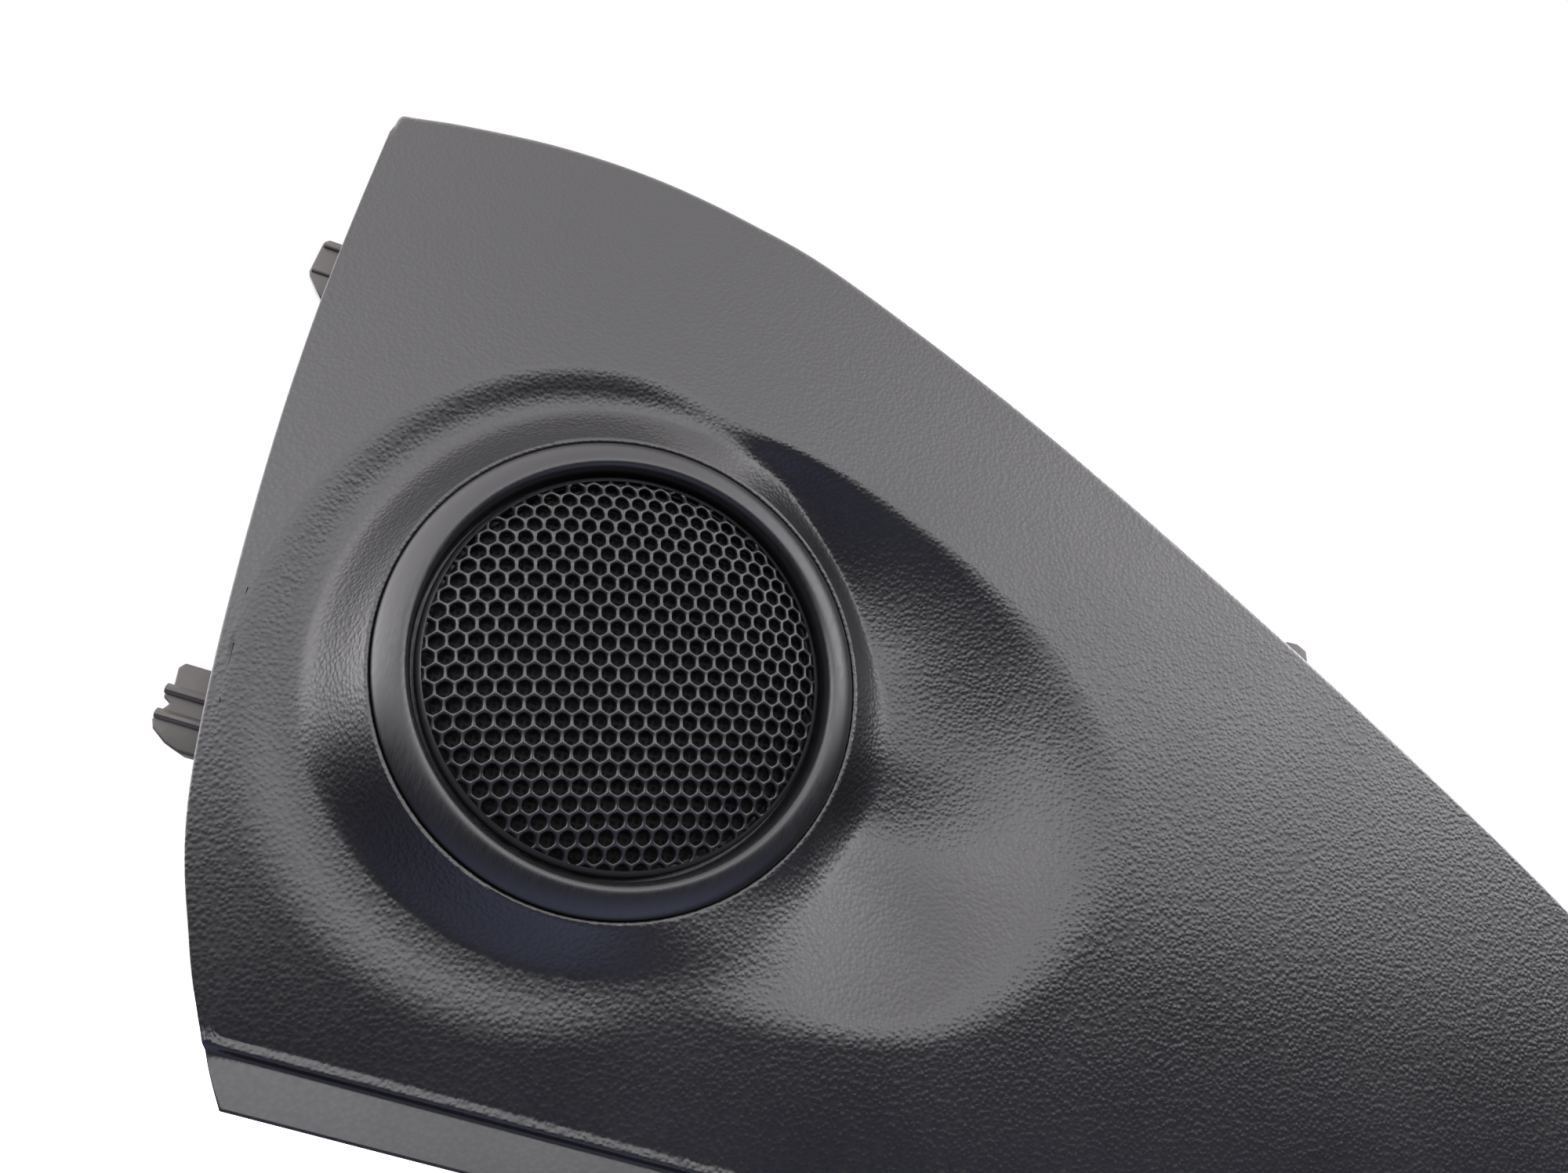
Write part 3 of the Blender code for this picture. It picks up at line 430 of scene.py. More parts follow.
def crown_depth(x, z):
    rise = z + 5.0
    return 0.6 + rise ** 2 / (1600.0 if rise > 0.0 else 400.0) + x ** 2 / 5000.0


def lip_at(angle):
    """The hole for the bezel: a circle seen at the tweeter's tilt, so a little narrower than tall."""
    return (BEZEL_RADIUS + LIP_GAP) * (1.0 - 0.0107 * math.cos(math.radians(angle)) ** 2)


def scoop(angle):
    """One in the middle of the scoop's dark upper wall, none elsewhere."""
    return math.exp(-((angle - 42.0) / 30.0) ** 4)


def foot_at(angle, rim):
    """Where the bezel's flank meets the dish's floor: farther out behind the tweeter, where it is tallest."""
    away = (angle % 360.0 - 180.0) / 55.0
    return min(33.4 + 3.0 * math.exp(-away ** 2) - 1.8 * scoop(angle),
               0.5 * (lip_at(angle) + LIP_SHOULDER + rim))


def dish_share(inward, rounding, hollow):
    """The share of the floor's depth at a share of the way in from the rim: steep first, then flat."""
    soft = inward ** 2 / (2.0 * rounding) if inward < rounding else inward - 0.5 * rounding
    return 1.0 - (1.0 - min(soft / (1.0 - 0.5 * rounding), 1.0)) ** hollow


def trim_depth(x, z):
    radius = math.hypot(x, z)
    angle = math.degrees(math.atan2(z, x))
    rim, floor_depth, rounding = dish_at(angle)
    depth = crown_depth(x, z)
    if radius >= rim:
        return depth
    shoulder = lip_at(angle) + LIP_SHOULDER
    foot = foot_at(angle, rim)
    inward = min((rim - radius) / (rim - foot), 1.0)
    hollow = 2.0 - 0.85 * scoop(angle)
    depth += floor_depth * dish_share(inward, min(rounding / (rim - foot), 0.95), hollow)
    climb = min(max((foot - radius) / (foot - shoulder), 0.0), 1.0) ** 1.5
    return (TILT_X * x + TILT_Z * z) * climb + depth * (1.0 - climb)


print("the crown falls %.1f mm from the tweeter to the ridge" % (crown_depth(0, RIDGE) - crown_depth(0, 0)))

# %% [markdown]
# The outline needs few points: the rear edge, the sloping top edge and a blunt nose are smooth curves, and
# the lower edge is straight.

# %% The trim's outline
REAR = [(-51.0, 62.6), (-48.4, 31.2), (-44.6, 3.5), (-39.0, -25.0), (-33.3, -39.4),
        (-28.2, -48.6), (-24.6, FLANGE)]
NOSE_CURVE = [(NOSE - 8.0, FLANGE), (NOSE - 2.0, -50.0), (NOSE, -42.0), (NOSE - 3.0, -30.0),
              (NOSE - 12.0, -16.5), (NOSE - 26.0, -4.0)]
TOP = [(124.9, 7.5), (101.0, 20.9), (71.7, 36.2), (42.0, 50.9), (12.2, 63.3), (-2.4, 67.1),
       (-16.4, 69.0), (-29.7, 68.8), (-42.0, 66.9), (-49.4, 65.1)]


def outline():
    points = catmull([Vector(p) for p in REAR], 12)
    start, end = Vector(REAR[-1]), Vector(NOSE_CURVE[0])
    count = 120
    points += [start.lerp(end, k / count) for k in range(1, count)]
    points += catmull([Vector(p) for p in NOSE_CURVE + TOP], 14)
    corner = [Vector(TOP[-1]), Vector((-50.8, 64.6)), Vector(REAR[0])]
    points += catmull(corner, 5)[1:-1]
    return points


OUTLINE = outline()
print("outline of", len(OUTLINE), "points")

# %% [markdown]
# The shell is one closed sheet bent round: every ray from the tweeter to the outline carries a closed
# section, over the front, down the edge and back along the inside. A plain grid is the right start, since
# its rows become the sections, and the edges that meet are welded.

# %% Section of the shell along one ray
BEAD = 1.0
STEP = 0.9
KICK = 0.37
EDGE_DROP = 1.2
SKIRT = 3.2
SKIRT_WALL = 1.8


def spread(start, end, count, first=1):
    return [start + (end - start) * k / count for k in range(first, count + 1)]


def below_ridge(z):
    """Extra depth below the ridge line: a flat bead, a step back, and a flange that leans out again."""
    fall = max(RIDGE - z, 0.0)
    bead = -0.32 * min(fall, BEAD) + 0.10 * (1.0 - smooth(fall / 0.25)) * (fall > 0.0)
    return bead + STEP * smooth((fall - BEAD) / 0.8) - KICK * max(fall - BEAD - 0.4, 0.0)


def roll_width(edge):
    """The sloping edge is rolled over softly; the rear and the flange end sharply."""
    rear = smooth((-20.0 - edge.x) / 4.0) * smooth((62.5 - edge.y) / 1.5)
    low = smooth((-43.0 - edge.y) / 3.0)
    return 1.6 - max(1.25 * rear, 1.4 * low)


def section(edge):
    out = edge.length
    along = edge / out
    angle = math.degrees(math.atan2(along.y, along.x))
    roll = roll_width(edge)
    ridge = out - 1.6
    if along.y < 0.0:
        ridge = min(ridge, RIDGE / along.y)

    def face(radius, extra=0.0):
        inset = min(max((radius - out + roll) / roll, 0.0), 1.0)
        rolled = EDGE_DROP * (0.15 + 0.85 * (roll - 0.2) / 1.4) * (1.0 - math.sqrt(1.0 - inset * inset))
        z = along.y * radius
        return radius, trim_depth(along.x * radius, z) + below_ridge(z) + rolled + extra

    rim, _, _ = dish_at(angle)
    lip = lip_at(angle)
    shoulder, foot = lip + LIP_SHOULDER, foot_at(angle, rim)
    rows = [face(lip, 0.30), face(lip + 0.04, 0.15), face(lip + 0.12, 0.05), face(lip + 0.25)]
    rows += [face(r) for r in [shoulder] + spread(shoulder, foot, 18)]
    rows += [face(r) for r in spread(foot, rim, 40)]
    rows += [face(r) for r in spread(rim, ridge, 46)]
    rows += [face(r) for r in spread(ridge, out, 36)]
    end = rows[-1][1] + SKIRT - EDGE_DROP
    inner = out - SKIRT_WALL
    rows += [(out, end - 0.3), (out - 0.3, end), (inner + 0.2, end), (inner, end - 0.2)]
    last = min(ridge, inner) - 1.0
    rows += [(last + 0.5, face(last)[1] + WALL)]
    rows += [face(r, WALL) for r in spread(last, rim, 16, 0) + spread(rim, foot, 10)]
    rows += [face(r, WALL) for r in spread(foot, lip, 10)]
    return rows


print("a section has", len(section(OUTLINE[0])), "points")

# %% Bend the grid into the shell
def trim_shell():
    sections = [section(edge) for edge in OUTLINE]
    around, rows = len(OUTLINE), len(sections[0])
    bm = bmesh.new()
    bmesh.ops.create_grid(bm, x_segments=around, y_segments=rows, size=0.5)
    rays = [edge.normalized() for edge in OUTLINE]
    for vert in bm.verts:
        i = round((vert.co.x + 0.5) * around) % around
        k = round((vert.co.y + 0.5) * rows) % rows
        radius, depth = sections[i][k]
        vert.co = TWEETER + Vector((rays[i].x * radius, depth, rays[i].y * radius)) * MM
    outward(bm)
    return settle("trim_shell", bm, GRAINED, ["trim_panel"], sharp=50.0)


SHELL = trim_shell()

# %% [markdown]
# ## Bezel
# The bezel is a turned ring. Its outer face climbs from the trim to a fine crease, then a rounded crest
# tips over into a sloping inner wall that ends at the mesh.

# %% Bezel ring
outer_face = [(27.5, -0.3), (27.5, -0.1), (27.42, 0.12), (27.2, 0.42), (26.85, 0.76), (26.4, 1.08),
              (25.9, 1.36), (25.4, 1.58), (24.95, 1.72), (24.6, 1.77)]
inner_wall = [(24.32, 1.72), (24.08, 1.54), (23.88, 1.22), (23.72, 0.8), (23.6, 0.3), (23.5, -0.3),
              (23.5, -1.9)]
ledge = [(22.2, -1.9), (22.2, -2.7), (27.4, -2.7), (27.5, -2.6)]
settle("bezel", on_axis(turned(outer_face + inner_wall + ledge, 224, closed=True)), SATIN,
       ["bezel_ring"], sharp=60.0)

# %% [markdown]
# ## Hexagonal mesh
# The mesh is moulded: round holes on a 2 mm hexagonal pitch, with softly rounded webs, on a flat-topped
# dome. Cutting hundreds of holes with a Boolean is slow and leaves poor edges. It is better to build one
# cell, a hexagon whose web falls to a round hole, and repeat it so that neighbours share their border.

# %% One cell of the mesh
PITCH = 2.0
GRILLE_RADIUS = 23.1
HEXAGON = PITCH / math.sqrt(3.0)
HOLE = 0.80


def grille_height(radius):
    return 3.69 * (1.0 - (radius / 23.05) ** 4)


def cell_ring(bm, share, height):
    """Twelve points between the hexagonal border, share 0, and the round hole, share 1."""
    verts = bmesh.ops.create_circle(bm, cap_ends=False, segments=12, radius=1.0)["verts"]
    for vert in verts:
        turn = math.atan2(vert.co.y, vert.co.x)
        corner = round(math.degrees(turn) / 30.0) % 2
        border = HEXAGON * math.cos(math.pi / 6.0) if corner == 0 else HEXAGON
        reach = border + (HOLE - border) * share
        vert.co = Vector((math.cos(turn) * reach, math.sin(turn) * reach, height)) * MM
    return list({edge for vert in verts for edge in vert.link_edges})


def cell():
    """Rings from the crest of the web, over its shoulder, through the hole and back along the underside."""
    rows = [(0.0, 0.0), (0.40, -0.035), (0.78, -0.14), (0.97, -0.30), (1.0, -0.50), (0.9, -1.0),
            (0.0, -1.0)]
    bm = bmesh.new()
    rings = [cell_ring(bm, share, height) for share, height in rows]
    for upper, lower in zip(rings, rings[1:]):
        bmesh.ops.bridge_loops(bm, edges=upper + lower)
    return bm


one = cell()
print("one cell has", len(one.faces), "faces")
one.free()

# %% [markdown]
# The rows of holes run a little over 17 degrees from horizontal, as the mesh happened to be fitted. Cells
# past the rim are dropped, and the ones at the border are drawn in under a solid rim.

# %% Repeat the cell over the dome
ROW_ANGLE = 17.7
RIM_INSIDE = 22.45


def mesh_centres():
    turn = Matrix.Rotation(math.radians(ROW_ANGLE), 2)
    reach = int(GRILLE_RADIUS / (PITCH * 0.866)) + 2
    for row in range(-reach, reach + 1):
        for column in range(-reach, reach + 1):
            centre = turn @ Vector((column + 0.5 * (row % 2), row * math.sqrt(0.75))) * PITCH
            if centre.length < RIM_INSIDE + 0.75:
                yield centre


def hexagonal_mesh():
    bm = cell()
    bmesh.ops.rotate(bm, verts=bm.verts, matrix=Matrix.Rotation(math.radians(ROW_ANGLE), 3, 'Z'))
    first = bm.verts[:] + bm.edges[:] + bm.faces[:]
    count = 0
    for centre in mesh_centres():
        made = bmesh.ops.duplicate(bm, geom=first)["geom"]
        verts = [item for item in made if isinstance(item, bmesh.types.BMVert)]
        bmesh.ops.translate(bm, vec=(*(centre * MM), 0.0), verts=verts)
        count += 1
    bmesh.ops.delete(bm, geom=first, context='VERTS')
    bmesh.ops.remove_doubles(bm, verts=bm.verts, dist=2e-6)
    limit = (GRILLE_RADIUS - 0.15) * MM
    for vert in bm.verts:
        radius = math.hypot(vert.co.x, vert.co.y)
        if radius > limit:
            vert.co.xy *= limit / radius
            radius = limit
        vert.co.z += grille_height(radius / MM) * MM
    bmesh.ops.recalc_face_normals(bm, faces=bm.faces)
    rim = [(RIM_INSIDE, grille_height(RIM_INSIDE) + 0.02), (22.75, grille_height(22.75) + 0.05),
           (23.02, grille_height(23.02) - 0.02), (GRILLE_RADIUS, -0.3), (GRILLE_RADIUS, -1.0),
           (RIM_INSIDE, grille_height(RIM_INSIDE) - 1.02)]
    turned(rim, 192, closed=True, into=bm)
    print("holes:", count)
    return settle("hexagonal_mesh", on_axis(bm), GRILLE, ["grille_mesh"], sharp=70.0)


hexagonal_mesh()

# %% [markdown]
# ## Acoustic cloth
# A thin open cloth lies a little under the mesh and follows its dome. It is stretched over a former. Its
# material lets some light through, and that is why the dome shows faintly behind the holes.

# %% Acoustic cloth
def dome_skin(radius, sink, thickness, steps=20):
    radii = [radius * k / steps for k in range(steps + 1)]
    top = [(r, grille_height(r) - sink) for r in radii]
    return top + [(r, h - thickness) for r, h in reversed(top)]


cloth = settle("cloth", on_axis(turned(dome_skin(21.8, 1.35, 0.35), 96)), CLOTH,
               ["acoustic_cloth"])

# %% [markdown]
# ## Drive unit
# The drive unit is a stack of turned pieces: a foam gasket, a moulded frame with a flange and a tube, the
# dome with its half-roll surround, and the motor. Every profile is a list of (radius, height) pairs.
#
# The dome, its former and the voice coil move together by a third of a millimetre, so they ride on the body
# `diaphragm`. The surround's rim is glued to the frame, so it rides with the housing.

# %% Dome and surround
DOME_EDGE = -7.2


def skin(line, thickness):
    """A thin turned profile: out along the line and back a little below it."""
    return line + [(r, h - thickness) for r, h in reversed(line)]


def dome():
    radii = [12.5 * k / 24 for k in range(25)]
    line = [(r, DOME_EDGE + 3.6 * (1.0 - (r / 12.5) ** 2)) for r in radii]
    return settle("dome", on_axis(turned(skin(line, 0.4), 96)), SILK, ["dome_diaphragm"],
                  body=DIAPHRAGM)


def surround():
    middle, half = 15.225, 2.375
    angles = [math.pi * k / 16 for k in range(17)]
    line = [(19.1, DOME_EDGE)] + [(middle + half * math.cos(a), DOME_EDGE + 0.75 * half * math.sin(a))
                                  for a in angles]
    return settle("surround", on_axis(turned(skin(line, 0.4), 96, closed=True)), SILK,
                  ["surround_roll"])


dome()
surround()

# %% [markdown]
# The motor: a thin film former carries the copper coil in the gap between the pole and the top plate. The
# coil is drawn with its turns, since a smooth copper band would look like a tube.

# %% Former, coil, plates and magnet
def coil_turns():
    """Fine round turns stacked down the former."""
    bm = bmesh.new()
    inner, outer, top, count = 12.8, 13.1, -8.9, 10
    wire_height = 2.7 / count
    line = []
    for k in range(count):
        level = top - k * wire_height
        line += [(outer - 0.06, level - 0.02), (outer, level - 0.5 * wire_height),
                 (outer - 0.06, level - wire_height + 0.02)]
    line += [(inner, top - 2.7), (inner, top)]
    turned(line, 96, closed=True, into=bm)
    return bm


settle("former", on_axis(turned([(12.15, -7.95), (12.45, -7.95), (12.45, -11.8), (12.15, -11.8)], 96,
                                closed=True)), FILM, ["coil_former"], body=DIAPHRAGM)
settle("coil", on_axis(coil_turns()), COPPER, ["voice_coil"], body=DIAPHRAGM)
settle("gap_plate", on_axis(turned([(13.45, -9.0), (18.6, -9.0), (18.8, -9.2), (18.8, -11.8), (18.6, -12.0),
                                    (13.45, -12.0)], 96, closed=True)), STEEL, ["top_plate"])
settle("magnet", on_axis(turned([(14.2, -12.35), (18.1, -12.35), (18.4, -12.65), (18.4, -18.05),
                                 (18.1, -18.35), (14.2, -18.35)], 96, closed=True)), FERRITE,
       ["ring_magnet"])
settle("yoke", on_axis(turned([(0.0, -9.0), (11.4, -9.0), (11.8, -9.4), (11.8, -18.5), (12.0, -18.7),
                               (18.5, -18.7), (18.8, -19.0), (18.8, -20.9), (18.5, -21.2), (0.0, -21.2)],
                              96)), STEEL, ["pole_yoke"])
settle("pole_pad", on_axis(turned([(0.0, -7.85), (9.7, -7.85), (10.0, -8.1), (10.0, -8.5), (9.8, -8.65),
                                   (0.0, -8.65)], 64)), FELT, ["damping_pad"])
settle("absorber", on_axis(turned([(0.0, -21.7), (17.4, -21.7), (17.8, -22.1), (17.8, -24.1), (17.4, -24.5),
                                   (0.0, -24.5)], 64)), FELT, ["rear_absorber"])

# %% [markdown]
# The rear cover is a moulded cup. Small upright ribs round its side stiffen it and give a grip when it is
# pressed on. They are bevelled blocks set round the axis.

# %% Rear cover with its ribs
def absorb(bm, other):
    """Move one bmesh's geometry into another."""
    carrier = bpy.data.meshes.new("carrier")
    other.to_mesh(carrier)
    other.free()
    bm.from_mesh(carrier)
    bpy.data.meshes.remove(carrier)
    return bm


def around(bm, count, maker, start=0.0):
    """Set copies of a small bmesh evenly round the local axis."""
    for k in range(count):
        piece = maker()
        turn = Matrix.Rotation(math.radians(start + 360.0 * k / count), 3, 'Z')
        bmesh.ops.rotate(piece, verts=piece.verts, matrix=turn)
        absorb(bm, piece)
    return bm


def cover():
    profile = [(0.0, -25.8), (20.8, -25.8), (21.35, -25.3), (21.35, -15.5), (21.5, -15.4), (22.4, -15.4),
               (22.55, -15.55), (22.55, -16.6), (22.3, -16.85), (22.3, -25.6), (22.1, -26.3), (21.5, -26.85),
               (20.9, -27.0), (14.6, -27.0), (14.4, -26.8), (13.8, -26.8), (13.6, -27.0), (0.0, -27.0)]
    bm = turned(profile, 128)
    around(bm, 36, lambda: block((22.1, -0.35, -25.2), (22.65, 0.35, -16.7), 0.15, 2))
    return settle("cover", on_axis(bm), MOULDED, ["rear_cover"])


def drive_frame():
    """The flange and the tube, with gussets under the flange."""
    profile = [(27.9, -4.1), (28.2, -4.3), (28.2, -5.5), (28.0, -5.7), (22.0, -5.7), (21.3, -6.0),
               (21.0, -6.6), (21.0, -16.7), (20.7, -17.0), (19.8, -17.0), (19.6, -16.8), (19.6, -4.5),
               (20.0, -4.1)]
    bm = turned(profile, 128, closed=True)

    def gusset():
        return upright(slab([(20.8, -5.5), (20.8, -12.0), (21.6, -12.0), (26.4, -6.4), (26.4, -5.5)],
                            -0.5, 0.5, 0.12))

    around(bm, 12, gusset, 15.0)
    return settle("drive_frame", on_axis(bm), MOULDED, ["tweeter_frame"])


def upright(bm):
    """Stand a slab drawn as (radius, height) up along the local axis."""
    bmesh.ops.rotate(bm, verts=bm.verts, matrix=Matrix.Rotation(math.radians(90.0), 3, 'X'))
    return bm


settle("gasket", on_axis(turned([(23.8, -3.2), (24.0, -3.05), (27.0, -3.05), (27.2, -3.2), (27.2, -3.6),
                                 (27.0, -3.75), (24.0, -3.75), (23.8, -3.6)], 96, closed=True)),
       FOAM, ["foam_gasket"])
cover()
drive_frame()

# %% [markdown]
# ## Bracket and screws
# A flat ring with three ears holds the drive unit against three posts of the trim. `triangle_fill` fills the
# space between the outline and the holes, and an extrusion gives it thickness.

# %% A plate with holes
POST_CIRCLE = 34.0
POST_ANGLES = (60.0, 180.0, 300.0)


def round_points(radius, count, centre=(0.0, 0.0)):
    return [(centre[0] + radius * math.cos(2.0 * math.pi * k / count),
             centre[1] + radius * math.sin(2.0 * math.pi * k / count)) for k in range(count)]


def pierced(outline, holes, bottom, top, bevel=0.0, segments=2):
    """A flat plate with holes, between two heights, with rounded rims."""
    bm = bmesh.new()
    edges = []
    for loop in [outline] + holes:
        verts = [bm.verts.new((x * MM, y * MM, bottom * MM)) for x, y in loop]
        edges += [bm.edges.new(pair) for pair in zip(verts, verts[1:] + verts[:1])]
    filled = bmesh.ops.triangle_fill(bm, use_beauty=True, use_dissolve=False, edges=edges)["geom"]
    faces = [item for item in filled if isinstance(item, bmesh.types.BMFace)]
    raised = bmesh.ops.extrude_face_region(bm, geom=faces)["geom"]
    lifted = [item for item in raised if isinstance(item, bmesh.types.BMVert)]
    bmesh.ops.translate(bm, vec=(0.0, 0.0, (top - bottom) * MM), verts=lifted)
    bmesh.ops.recalc_face_normals(bm, faces=bm.faces)
    if bevel:
        soften(bm, bevel, segments)
    return bm


def soften(bm, bevel, segments=2, least=50.0):
    """Round every edge that turns by more than some angle."""
    sharp = [edge for edge in bm.edges if len(edge.link_faces) == 2
             and edge.calc_face_angle(0.0) > math.radians(least)]
    bmesh.ops.bevel(bm, geom=sharp, offset=bevel * MM, offset_type='OFFSET', segments=segments,
                    profile=0.5, affect='EDGES', material=-1, clamp_overlap=True)
    return bm


print("posts stand on a circle of", POST_CIRCLE, "mm")

# %% Mounting bracket
def bracket_outline():
    ear, body, points = 4.4, 25.0, []
    half = math.degrees(math.asin(ear / body)) + 4.0
    for angle in POST_ANGLES:
        turn = math.radians(angle)
        centre = Vector((math.cos(turn), math.sin(turn))) * POST_CIRCLE
        for k in range(17):
            swing = turn - math.pi / 2.0 + math.pi * k / 16.0
            points.append(tuple(centre + Vector((math.cos(swing), math.sin(swing))) * ear))
        for k in range(25):
            step = math.radians(angle + half + (120.0 - 2.0 * half) * k / 24.0)
            points.append((body * math.cos(step), body * math.sin(step)))
    return points


def bracket():
    holes = [round_points(21.4, 72)]
    for angle in POST_ANGLES:
        turn = math.radians(angle)
        holes.append(round_points(1.6, 24, (POST_CIRCLE * math.cos(turn), POST_CIRCLE * math.sin(turn))))
    bm = pierced(bracket_outline(), holes, -15.0, -13.4, 0.25)
    for angle in POST_ANGLES:
        for side in (-1.0, 1.0):
            rib = block((24.2, side * 2.9 - 0.4, -16.0), (31.6, side * 2.9 + 0.4, -14.8), 0.2, 2)
            bmesh.ops.rotate(rib, verts=rib.verts, matrix=Matrix.Rotation(math.radians(angle), 3, 'Z'))
            absorb(bm, rib)
    return settle("bracket", on_axis(bm), MOULDED, ["mounting_bracket"])


bracket()

# %% [markdown]
# The screws are thread-forming screws with pan heads. The thread is a helix, so `spin` can draw it when it
# is given a rise for each step. The cross recess is a hole in the flat of the head, drawn down and closed.

# %% Bracket screws
SEAT = -15.35


def cross(half, arm):
    return [(arm, half), (arm, -half), (half, -half), (half, -arm), (-half, -arm), (-half, -half),
            (-arm, -half), (-arm, half), (-half, half), (-half, arm), (half, arm), (half, half)]


def pan_head():
    """A domed head whose flat end carries a cross recess."""
    bm = pierced(round_points(1.55, 36), [cross(0.26, 1.25)], -1.8, -1.79)
    top = [face for face in bm.faces if face.calc_center_median().z > -1.7901 * MM
           and abs(face.normal.z) > 0.5]
    bmesh.ops.delete(bm, geom=top, context='FACES')
    walls = [edge for edge in bm.edges if edge.is_boundary
             and max(math.hypot(*vert.co.xy) for vert in edge.verts) < 1.5 * MM]
    sunk = bmesh.ops.extrude_edge_only(bm, edges=walls)["geom"]
    deep = [item for item in sunk if isinstance(item, bmesh.types.BMVert)]
    bmesh.ops.translate(bm, vec=(0.0, 0.0, 0.9 * MM), verts=deep)
    bmesh.ops.scale(bm, vec=(0.7, 0.7, 1.0), verts=deep)
    floor = [item for item in sunk if isinstance(item, bmesh.types.BMEdge)
             and all(vert in deep for vert in item.verts)]
    bmesh.ops.triangle_fill(bm, use_beauty=True, use_dissolve=False, edges=floor)
    turned([(0.0, 0.0), (2.6, 0.0), (2.7, -0.15), (2.66, -0.7), (2.45, -1.2), (2.05, -1.6), (1.55, -1.8)],
           36, into=bm)
    return outward(bm)


def screw_body(length):
    """Head, shank and a helical thread, with the seat of the head at height zero."""
    bm = pan_head()
    turned([(0.0, length), (0.35, length), (0.8, length - 0.8), (0.8, 0.0)], 24, into=bm)
    pitch, turns, steps = 0.9, (length - 1.2) / 0.9, 20
    verts = [bm.verts.new((r * MM, 0.0, h * MM)) for r, h in ((0.78, 0.5), (1.1, 0.3), (0.78, 0.1))]
    edges = [bm.edges.new(pair) for pair in zip(verts, verts[1:])]
    count = int(turns * steps)
    bmesh.ops.spin(bm, geom=verts + edges, cent=(0, 0, 0), axis=(0, 0, 1),
                   dvec=(0.0, 0.0, pitch / steps * MM), angle=2.0 * math.pi * count / steps, steps=count,
                   use_merge=False)
    return bm


for number, angle in enumerate(POST_ANGLES, 1):
    node_name = "bracket_screw_%d" % number
    turn = math.radians(angle)
    bm = screw_body(6.4)
    bmesh.ops.rotate(bm, verts=bm.verts, matrix=Matrix.Rotation(turn + 0.6 * number, 3, 'Z'))
    place = (POST_CIRCLE * math.cos(turn), POST_CIRCLE * math.sin(turn), SEAT)
    settle("pan_screw_%d" % number, on_axis(bm, place), STEEL, [node_name])

# %% [markdown]
# ## Posts, seat boss and towers on the trim's back
# These are moulded in one with the trim. Each is a simple hollow form that starts inside the wall, so no
# Boolean is needed for the look of it. Gussets at the foot of each post are drawn as slabs and stood up.

# %% Screw posts
def keep_behind(bm, skin=1.0):
    """Hold every point at least a skin's depth behind the trim's visible face."""
    for vert in bm.verts:
        x, z = (vert.co.x - TWEETER.x) / MM, (vert.co.z - TWEETER.z) / MM
        vert.co.y = max(vert.co.y, TWEETER.y + (trim_depth(x, z) + skin) * MM)
    return bm


def wall_height(radius, angle):
    """Height along the tweeter's axis at which a post is well inside the trim's wall."""
    turn = math.radians(angle)
    x, z = radius * math.cos(turn), radius * math.sin(turn)
    return TILT_X * x + TILT_Z * z - trim_depth(x, z) - 0.8


def posts():
    bm = bmesh.new()
    for angle in POST_ANGLES:
        top, end = wall_height(POST_CIRCLE, angle), -13.0
        post = turned([(0.0, end + 6.5), (1.0, end + 6.5), (1.0, end + 0.5), (1.5, end), (2.5, end),
                       (2.6, end + 0.2), (2.8, top), (0.0, top)], 40)
        for k in range(4):
            fin = upright(slab([(2.4, top - 0.4), (2.4, end + 3.0), (3.2, end + 3.0), (4.4, top - 0.8)], -0.4, 0.4, 0.1))
            swing = Matrix.Rotation(math.radians(45.0 + 90.0 * k), 3, 'Z')
            bmesh.ops.rotate(fin, verts=fin.verts, matrix=swing)
            absorb(post, fin)
        turn = math.radians(angle)
        bmesh.ops.translate(post, verts=post.verts,
                            vec=Vector((POST_CIRCLE * math.cos(turn), POST_CIRCLE * math.sin(turn), 0)) * MM)
        absorb(bm, post)
    return settle("screw_posts", keep_behind(on_axis(bm)), GRAINED)


posts()

# %% [markdown]
# The seat boss and the clip towers point straight back, along +Y. A slab drawn in the plane of the trim is
# turned to face that way. The boss is hollow with a cross inside, as thick lumps of plastic would sink.

# %% Seat boss and clip towers
FRONT_TOWER = (118.0, -24.0)
UPPER_TOWER = (-18.0, 54.0)


def facing_back(bm, x, z):
    """Carry a mesh drawn with X forward, Y up and Z to the viewer to a place behind the trim."""
    place = Matrix.Translation(Vector((TWEETER.x + x * MM, 0.0, TWEETER.z + z * MM)))
    bmesh.ops.transform(bm, matrix=place @ Matrix.Rotation(math.radians(90.0), 4, 'X'), verts=bm.verts)
    return bm


def back_of_wall(x, z, into=1.0):
    """Height towards the viewer of the trim's inner face, measured from the seat plane."""
    return -(TWEETER.y / MM + trim_depth(x, z) + WALL) + into


def seat():
    x, z = 60.0, -10.0
    top = back_of_wall(x, z)
    bm = turned([(5.4, top), (5.4, 0.15), (5.55, 0.0), (6.85, 0.0), (7.0, 0.15), (7.0, top)], 64,
                closed=True)
    for turn in (0.0, 90.0):
        web = block((-5.6, -0.6, 0.0), (5.6, 0.6, top), 0.1, 1)
        bmesh.ops.rotate(web, verts=web.verts, matrix=Matrix.Rotation(math.radians(turn), 3, 'Z'))
        absorb(bm, web)
    return settle("seat_boss", keep_behind(facing_back(bm, x, z)), GRAINED)


